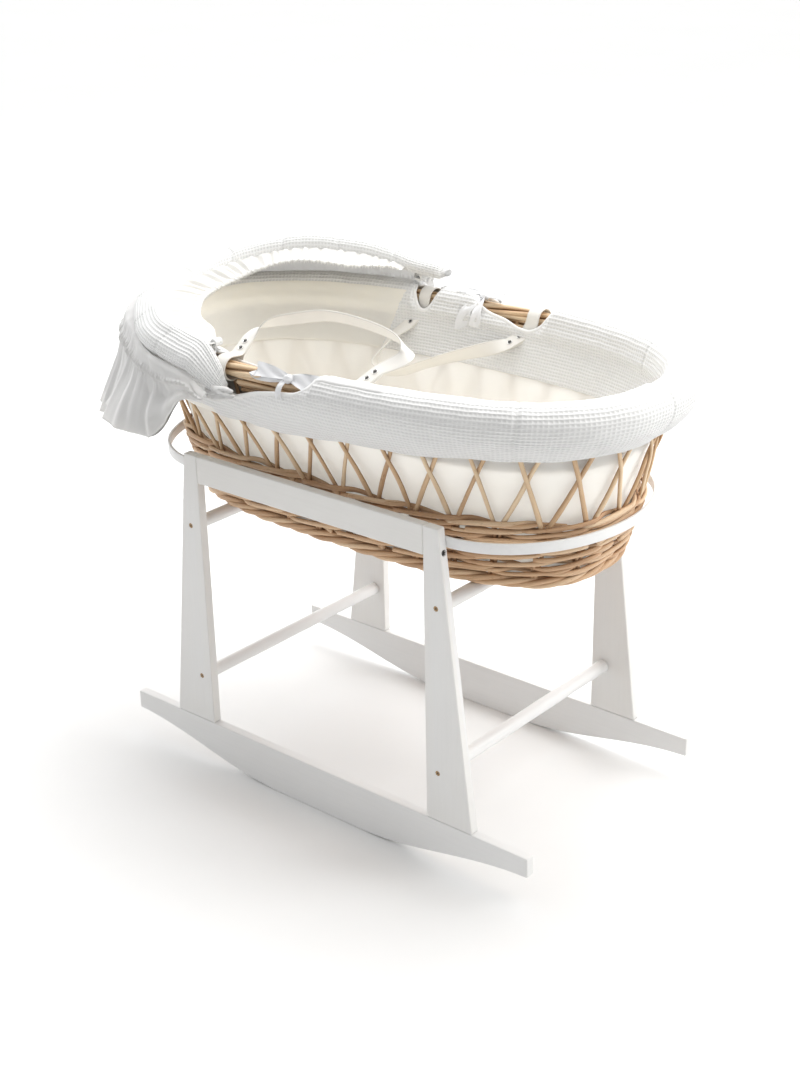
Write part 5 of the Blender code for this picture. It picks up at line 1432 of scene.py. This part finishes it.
def build_hood():
    pitch = WAFFLE_PITCH
    # ---- padded roll, with a slack tail down to the border at the near end
    m = 460
    f = np.linspace(0, 1, m)
    xy, nv, K, length = hood_stations(f)
    q, z, tilt, W, H = K.T
    tilt = np.radians(tilt)
    c = np.stack([xy[:, 0] + nv[:, 0] * q, xy[:, 1] + nv[:, 1] * q, z], -1)
    nrm = np.stack([nv[:, 0], nv[:, 1], np.zeros(m)], -1)
    # tail
    k = 34
    t = np.linspace(0, 1, k, endpoint=False)[:, None]
    end = np.array([-0.0980, -(rim_y(-0.098) + 0.0270), 0.6560])
    tan0 = unit(c[1] - c[0])
    start = c[0]
    m0, m1 = np.array([-0.045, 0.000, 0.024]), tan0 * 0.055
    tail = ((2 * t ** 3 - 3 * t ** 2 + 1) * end + (t ** 3 - 2 * t ** 2 + t) * m0 + (3 * t ** 2 - 2 * t ** 3) * start + (t ** 3 - t ** 2) * m1)
    tt = t[:, 0]
    k2 = 30
    t2 = np.linspace(0, 1, k2 + 1)[1:, None]
    end2 = np.array([-0.0980, rim_y(-0.098) + 0.0100, 0.7170])
    tan1 = unit(c[-1] - c[-2])
    n0, n1 = tan1 * 0.050, np.array([0.055, 0.004, -0.012])
    last = c[-1]
    tail2 = ((2 * t2 ** 3 - 3 * t2 ** 2 + 1) * last + (t2 ** 3 - 2 * t2 ** 2 + t2) * n0 + (3 * t2 ** 2 - 2 * t2 ** 3) * end2 + (t2 ** 3 - t2 ** 2) * n1)
    c = np.concatenate([tail, c, tail2])
    nrm = np.concatenate([np.tile(nrm[0], (k, 1)), nrm, np.tile(nrm[-1], (k2, 1))])
    tilt = np.concatenate([np.radians(66) + (tilt[0] - np.radians(66)) * smooth(tt), tilt, tilt[-1] * np.ones(k2)])
    W = np.concatenate([0.0165 + (W[0] - 0.0165) * smooth(tt * 1.1), W, W[-1] + (0.0180 - W[-1]) * smooth(t2[:, 0])])
    H = np.concatenate([0.0060 + (H[0] - 0.0060) * smooth(tt), H, H[-1] + (0.0125 - H[-1]) * smooth(t2[:, 0])])
    s = np.concatenate([[0], np.cumsum(np.linalg.norm(np.diff(c, axis=0), axis=1))])
    M = len(c)
    seams = [0.135 + 0.099 * i for i in range(8)]
    fade = smooth((s - 0.0) / 0.02) * smooth((s[-1] - s) / 0.015)
    W = W * (0.55 + 0.45 * fade)
    H = H * (0.40 + 0.60 * fade)
    seg = 44
    a = TAU * np.arange(seg) / seg
    S, A = np.meshgrid(s, a, indexing="ij")
    # rounder than an ellipse, flat where it rests
    cw = np.sign(np.cos(A)) * np.abs(np.cos(A)) ** 0.92
    sh = np.sign(np.sin(A)) * np.abs(np.sin(A)) ** 0.92
    pinch = np.zeros_like(S)
    puck = np.zeros_like(S)
    for i, sc in enumerate(seams):
        d = S - sc - 0.004 * np.sin(A * 2 + i)
        pinch = pinch + gauss(d, 0.0030)
        puck = puck + gauss(d, 0.020) * np.sin(A * 9 + i * 1.3 + d * 60) * np.clip(np.abs(d) / 0.006, 0, 1)
    soft = 0.05 * noise2(S * 9, A * 0.5, 41) + 0.03 * noise2(S * 26, A * 1.5, 42)
    # the near side lies slack: long shallow creases along the band
    slack = smooth((0.30 - S) / 0.12)
    crease = slack * (0.06 * np.sin(A * 5 + S * 14) + 0.05 * np.sin(A * 8 - S * 22 + 1.0))
    rad = 1 - 0.16 * pinch + 0.035 * puck + soft + crease
    du = W[:, None] * cw * (1 - 0.05 * pinch)
    dv = H[:, None] * sh * rad
    nu_ = du * np.cos(tilt)[:, None] + dv * np.sin(tilt)[:, None]
    nz_ = -du * np.sin(tilt)[:, None] + dv * np.cos(tilt)[:, None]
    v = c[:, None] + nrm[:, None] * nu_[..., None] + np.array([0, 0, 1.0]) * nz_[..., None]
    around = np.concatenate([[0], np.cumsum(np.hypot(np.diff(0.0245 * np.cos(a)), np.diff(0.0150 * np.sin(a))))])
    full = around[-1] + 0.0025
    arc = np.minimum(around, full - around)
    Wv = np.stack([S, np.broadcast_to(arc[None], S.shape), np.zeros_like(S)], -1)
    bag = Bag()
    v = v.reshape(-1, 3)
    n0 = len(v)
    v = np.concatenate([v, c[:1], c[-1:]])
    kk = np.arange(seg)
    tris = np.concatenate([np.stack([np.full(seg, n0), (kk + 1) % seg, kk], -1),
                           np.stack([np.full(seg, n0 + 1), (M - 1) * seg + kk, (M - 1) * seg + (kk + 1) % seg], -1)])
    bag.add(v, grid_quads(M, seg, False, True), tris, wuv=np.concatenate([Wv.reshape(-1, 3), [[0, 0, 0]], [[s[-1], 0, 0]]]))
    ob = bag.build("hood_waffle_roll", WAFFLE)
    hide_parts("hood_trim")
    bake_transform(ob)

    # ---- gathered frill inside the roll
    m, r = 1500, 22
    f = np.linspace(-0.022, 0.990, m)
    xy, nv, K, length = hood_stations(f)
    q, z, tilt, W, H = K.T
    tilt = np.radians(tilt)
    q0 = q - W * np.cos(tilt) * 0.90
    z0 = z + W * np.sin(tilt) * 0.90 - 0.002
    s = f * length
    reach = smooth(np.minimum(f + 0.03, 1.005 - f) / 0.13)
    width = 0.019 + 0.038 * reach
    v1 = np.linspace(0, 1, r)
    Vv = np.broadcast_to(v1, (m, r))
    Sg = np.broadcast_to(s[:, None], (m, r))
    warp = Sg + 0.0035 * np.sin(Sg * 41 + 2) + 0.002 * np.sin(Sg * 97)
    big = np.sin(TAU * warp / 0.0205) + 0.55 * np.sin(TAU * warp / 0.0123 + 1.0)
    small = np.sin(TAU * warp / 0.0056) + 0.6 * np.sin(TAU * warp / 0.0041 + 2.0)
    amp_big = 0.0021 * np.sin(math.pi * np.clip(Vv / 0.84, 0, 1)) ** 0.7 + 0.0003
    amp_small = 0.0011 * gauss(Vv - 0.84, 0.09) + 0.0016 * smooth((Vv - 0.86) / 0.12)
    pl = amp_big * big + amp_small * small
    drop = -0.003 * Vv - 0.008 * reach[:, None] * Vv ** 1.3
    lip = 0.0035 * gauss(Vv - 0.93, 0.07)
    Q = q0[:, None] - width[:, None] * Vv
    Zz = z0[:, None] + drop + pl + lip
    lat = 0.0012 * amp_small / 0.0016 * np.cos(TAU * warp / 0.0056)
    X = xy[:, 0, None] + nv[:, 0, None] * Q - nv[:, 1, None] * lat
    Y = xy[:, 1, None] + nv[:, 1, None] * Q + nv[:, 0, None] * lat
    v = np.stack([X, Y, Zz], -1).reshape(-1, 3)
    Wv = np.stack([Sg * 1.5, width[:, None] * Vv, np.zeros((m, r))], -1).reshape(-1, 3)
    quads = grid_quads(m, r)
    bag = Bag()
    bag.add(v, quads, wuv=Wv)
    ob = bag.build("hood_gathered_frill", FRILL_COTTON)
    mod = ob.modifiers.new("cloth", "SOLIDIFY")
    mod.thickness = 0.0006
    put(ob, "hood", ["hood_frill"])
    ar = area_of(v, quads)

    # ---- plain cloth hanging outside the head end
    m, r = 900, 54
    f = np.linspace(-0.052, 0.996, m)
    xy, nv, K, length = hood_stations(f)
    q, z, tilt, W, H = K.T
    tilt = np.radians(tilt)
    s = f * length
    past = smooth(-f / 0.052)
    q0 = q + W * np.cos(tilt) * 0.93 - 0.004 * past
    z0 = z - W * np.sin(tilt) * 0.93 - 0.003 - 0.022 * past
    Km = keyed(1 - f)
    deep = smooth((f + 0.055) / 0.30) * smooth((1 - f + 0.060) / 0.30)
    q1 = np.maximum(np.maximum(0.0420, q0 + 0.0020), Km[:, 0] + Km[:, 3] * np.cos(np.radians(Km[:, 2])) + 0.0015)
    z1 = np.minimum(0.7000, z0 - 0.0080)
    quick = smooth((f + 0.022) / 0.105) * smooth((1 - f + 0.060) / 0.30)
    low = 0.5620 + (0.6420 - 0.5620) * (1 - quick) + wavy(s, 51, (4.5, 9.1), (0.0030, 0.0015))
    low = low + 0.006 * gauss(f - 0.10, 0.05) - 0.010 * gauss(f - 0.30, 0.06)
    flare = q1 + 0.004 + 0.0440 * deep
    t = np.linspace(0, 1, r)
    # three-part hanging line: over the knee, down, slightly out
    P0 = np.stack([q0, z0], -1)
    P1 = np.stack([q1, z1], -1)
    P2 = np.stack([q1 + (flare - q1) * 0.30, z1 + (low - z1) * 0.45], -1)
    P3 = np.stack([flare, low], -1)
    pts = np.stack([P0, P1, P2, P3], 1)
    T = np.array([0, 0.14, 0.52, 1.0])
    prof = np.empty((m, r, 2))
    for d in range(2):
        prof[..., d] = np.array([np.interp(t, T, row) for row in pts[..., d]])
    kern = np.hanning(9) / np.hanning(9).sum()
    pad = np.pad(prof, ((0, 0), (4, 4), (0, 0)), "edge")
    for d in range(2):
        sm = np.stack([np.convolve(row, kern, "valid") for row in pad[..., d]])
        prof[:, 1:-1, d] = sm[:, 1:-1]
    Tt = np.broadcast_to(t, (m, r))
    Sg = np.broadcast_to(s[:, None], (m, r))
    wander = Sg + 0.020 * (Tt - 0.3) * np.sin(Sg * 17 + 1.0)
    gather = 0.30 * np.sin(TAU * wander / 0.029 + 0.8) + 0.45 * np.sin(TAU * wander / 0.047) + 0.12 * np.sin(TAU * wander / 0.017 + 2.2)
    fine = np.sin(TAU * wander / 0.0072) + 0.6 * np.sin(TAU * wander / 0.0049 + 1.0)
    sway = np.sin(TAU * wander / 0.115 + 0.6) + 0.6 * np.sin(TAU * wander / 0.071 + 2.0)
    A1 = 0.0014 + 0.0036 * smooth((Tt - 0.10) / 0.5)
    A2 = 0.0050 * smooth((Tt - 0.35) / 0.65)
    # gathered seam a third of the way down
    band = gauss(Tt - 0.30, 0.035)
    A3 = 0.0016 * band + 0.0002 * gauss(Tt - 0.30, 0.2)
    disp = A1 * gather + A2 * sway + A3 * fine
    # creases that run out of the bunched near end
    dx = Sg + 0.060
    dz = (Tt - 0.75) * 0.05
    ray = np.arctan2(dz, dx + 0.002)
    near = smooth((0.20 - Sg) / 0.17)
    disp = disp + near * (0.0045 * np.sin(ray * 15 + 0.7) + 0.0028 * np.sin(ray * 27 + 2.0)) * smooth((Sg + 0.045) / 0.05)
    tight = 0.35 + 0.65 * smooth((Sg + 0.02) / 0.10)
    disp = disp * tight
    disp = np.maximum(disp, -0.0060)
    Q = prof[..., 0] + 0.0055 + disp - 0.0045 * gauss(Tt, 0.06)
    Zz = prof[..., 1] + 0.10 * disp
    # a tuck standing out along the gathered seam
    Q = Q + 0.0035 * gauss(Tt - 0.275, 0.030) + 0.0020 * band * np.sin(TAU * wander / 0.0072 + 1.5)
    X = xy[:, 0, None] + nv[:, 0, None] * Q
    Y = xy[:, 1, None] + nv[:, 1, None] * Q
    v = np.stack([X, Y, Zz], -1).reshape(-1, 3)
    dd = np.concatenate([np.zeros((m, 1)), np.cumsum(np.hypot(np.diff(Q, axis=1), np.diff(Zz, axis=1)), axis=1)], 1)
    Wv = np.stack([Sg * 1.2, dd, np.zeros((m, r))], -1).reshape(-1, 3)
    quads = grid_quads(m, r)
    bag = Bag()
    bag.add(v, quads, wuv=Wv)
    ob = bag.build("hood_outer_cloth", SHELL_COTTON)
    mod = ob.modifiers.new("cloth", "SOLIDIFY")
    mod.thickness = 0.0006
    put(ob, "hood", ["hood_shell"])
    ar = area_of(v, quads)
    shell = (f, xy, nv, q1, low, flare)

    # ---- the same cloth's back layer, from the hem up to the cover: it opens as the hood is raised
    m, r = 420, 26
    f = np.linspace(0.01, 0.99, m)
    xy, nv, K, length = hood_stations(f)
    s = f * length
    deep = smooth((f + 0.022) / 0.105) * smooth((1 - f + 0.060) / 0.30)
    q_in = 0.0420
    lowz = 0.5660 + (0.6460 - 0.5660) * (1 - deep)
    flare_b = np.interp(f, shell[0], shell[5]) + 0.001
    t = np.linspace(0, 1, r)
    top_z = np.maximum(0.668, lowz + 0.012)
    Q = q_in + (flare_b[:, None] - 0.004 - q_in) * t[None] ** 1.4
    Zz = top_z[:, None] + (lowz - top_z)[:, None] * t[None]
    Q = Q + 0.0012 * np.sin(s[:, None] * 130) * t[None]
    X = xy[:, 0, None] + nv[:, 0, None] * Q
    Y = xy[:, 1, None] + nv[:, 1, None] * Q
    v = np.stack([X, Y, Zz], -1).reshape(-1, 3)
    Wv = np.stack([np.broadcast_to(s[:, None], (m, r)), np.broadcast_to(t * 0.11, (m, r)), np.zeros((m, r))], -1).reshape(-1, 3)
    quads = grid_quads(m, r)
    bag = Bag()
    bag.add(v, quads, wuv=Wv)
    ob = bag.build("hood_back_cloth", SHELL_COTTON)
    ar = area_of(v, quads)
    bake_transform(ob)

    # ---- bunched end of the cloth, tied in at the near slot
    bag = Bag()
    base = np.array([-0.0960, -(rim_y(-0.096) + 0.0300), 0.6500])
    for i in range(9):
        h = [hash01(i, j) for j in range(6)]
        L = 0.026 + 0.012 * h[0]
        p0 = base + np.array([0.010 + 0.008 * h[1], 0.004 * h[2] - 0.002, -0.004 + 0.010 * h[3]])
        p3 = base + np.array([-L, -0.004 + 0.004 * h[4], -0.012 + 0.026 * h[5]])
        p1 = p0 * 0.66 + p3 * 0.34 + np.array([0, -0.004, 0.003 * h[2]])
        p2 = p0 * 0.33 + p3 * 0.67 + np.array([0, -0.003, -0.002 * h[3]])
        P = catmull([p0, p1, p2, p3], 7)
        rr = np.interp(np.linspace(0, 1, len(P)), [0, 0.2, 0.7, 1], [0.0022, 0.0042, 0.0046, 0.0016]) * (0.8 + 0.4 * h[4])
        rr = rr * (1 + 0.12 * np.sin(np.arange(len(P)) * 1.7 + i))
        tube(bag, P, (0, -0.4, 1), rr, rr * 0.7, 12, grain=False, wuv=True, seed=i)
    ob = bag.build("hood_cloth_bunch", SHELL_COTTON)
    put(ob, "basket")


# ------------------------------------------------------------ stage, camera, light
def build_stage():
    m, nt, p = material("studio_floor", 0.55)
    obj = nt.nodes.new("ShaderNodeTexCoord").outputs["Object"]
    n1 = noise(nt, obj, 1.4, 4.0)
    n2 = noise(nt, obj, 14.0, 5.0)
    col = mix_colour(nt, n1, (0.90, 0.90, 0.895), (0.865, 0.865, 0.86))
    col = mix_colour(nt, math_node(nt, "MULTIPLY", n2, 0.25), col, (0.82, 0.82, 0.815))
    # painted light: the floor colour is made lighter towards the back, away from the camera, rising above full white
    # far off
    dot = nt.nodes.new("ShaderNodeVectorMath")
    dot.operation = "DOT_PRODUCT"
    nt.links.new(obj, dot.inputs[0])
    dot.inputs[1].default_value = (-0.65, 0.76, 0.0)
    away = ramp(nt, math_node(nt, "MULTIPLY_ADD", dot.outputs["Value"], 0.25, 0.45, clamp=True), ((0.0, grey(0.93)), (0.45, grey(0.97)), (1.0, grey(1.11))))
    col = mix_colour(nt, 1.0, col, away, "MULTIPLY")
    nt.links.new(col, p.inputs["Base Color"])
    bump(nt, p, n2, 0.0006, 0.35)
    me = bpy.data.meshes.new("floor")
    k = 24
    xs = np.linspace(-26, 26, k)
    verts = [(x, y, 0.0) for y in xs for x in xs]
    me.from_pydata(verts, [], [tuple(int(q) for q in r) for r in grid_quads(k, k)[:, ::-1]])
    me.update()
    ob = bpy.data.objects.new("floor", me)
    bpy.context.scene.collection.objects.link(ob)
    me.materials.append(m)


def build_light():
    sc = bpy.context.scene
    w = bpy.data.worlds.new("studio")
    sc.world = w
    w.use_nodes = True
    nt = w.node_tree
    bg = nt.nodes["Background"]
    tc = nt.nodes.new("ShaderNodeTexCoord").outputs["Generated"]
    dot = nt.nodes.new("ShaderNodeVectorMath")
    dot.operation = "DOT_PRODUCT"
    nt.links.new(tc, dot.inputs[0])
    dot.inputs[1].default_value = (-0.62, 0.70, 0.35)
    f = math_node(nt, "MULTIPLY_ADD", dot.outputs["Value"], 0.5, 0.5, clamp=True)
    col = ramp(nt, f, ((0.0, grey(0.20)), (0.35, grey(0.28)), (0.60, grey(0.62)), (0.80, grey(0.97)), (1.0, grey(1.0))))
    nt.links.new(col, bg.inputs["Color"])
    bg.inputs["Strength"].default_value = 1.46

    def area(name, loc, target, size, power, colour=(1, 1, 1)):
        d = bpy.data.lights.new(name, "AREA")
        d.shape = "RECTANGLE"
        d.size, d.size_y = size
        d.energy = power
        d.color = colour
        o = bpy.data.objects.new(name, d)
        sc.collection.objects.link(o)
        o.location = loc
        o.rotation_euler = (Vector(target) - Vector(loc)).to_track_quat("-Z", "Y").to_euler()
    area("overhead", (-0.2, 0.9, 3.2), (0.0, 0.0, 0.4), (2.6, 2.0), 49)
    area("right_back", (2.6, 1.9, 2.0), (0.0, 0.0, 0.5), (1.6, 1.6), 30)
    area("left", (-2.8, 0.3, 1.6), (0.0, 0.0, 0.5), (1.5, 1.5), 10)
    area("inside", (1.35, 0.25, 1.75), (-0.22, 0.08, 0.62), (0.9, 0.9), 9.5, (1.0, 0.985, 0.95))
    sc.view_settings.view_transform = "Standard"
    sc.view_settings.look = "None"
    sc.view_settings.exposure = 0.0
    sc.view_settings.gamma = 1.0


def build_camera():
    d = bpy.data.cameras.new("camera")
    d.lens = 54.88
    d.sensor_width = 36.0
    d.clip_end = 200
    o = bpy.data.objects.new("camera", d)
    bpy.context.scene.collection.objects.link(o)
    right = Vector((0.765028113956685, 0.6437139251185919, -0.019088411780274983))
    down = Vector((0.2419127916753953, -0.314720831035854, -0.917839310411097))
    fwd = Vector((-0.5968334659515117, 0.6975551455766901, -0.39649291645600493))
    from mathutils import Matrix
    M = Matrix((right, -down, -fwd)).transposed().to_4x4()
    M.translation = Vector((1.49702011 + SX, -1.75734107, 1.35790498))
    o.matrix_world = M
    bpy.context.scene.camera = o


build_stand()
build_weave()
build_lattice()
build_lining()
build_mattress()
build_cover()
build_bows()
for _side in ("near", "far"):
    build_strap(_side)
build_hood()
build_stage()
build_light()
build_camera()
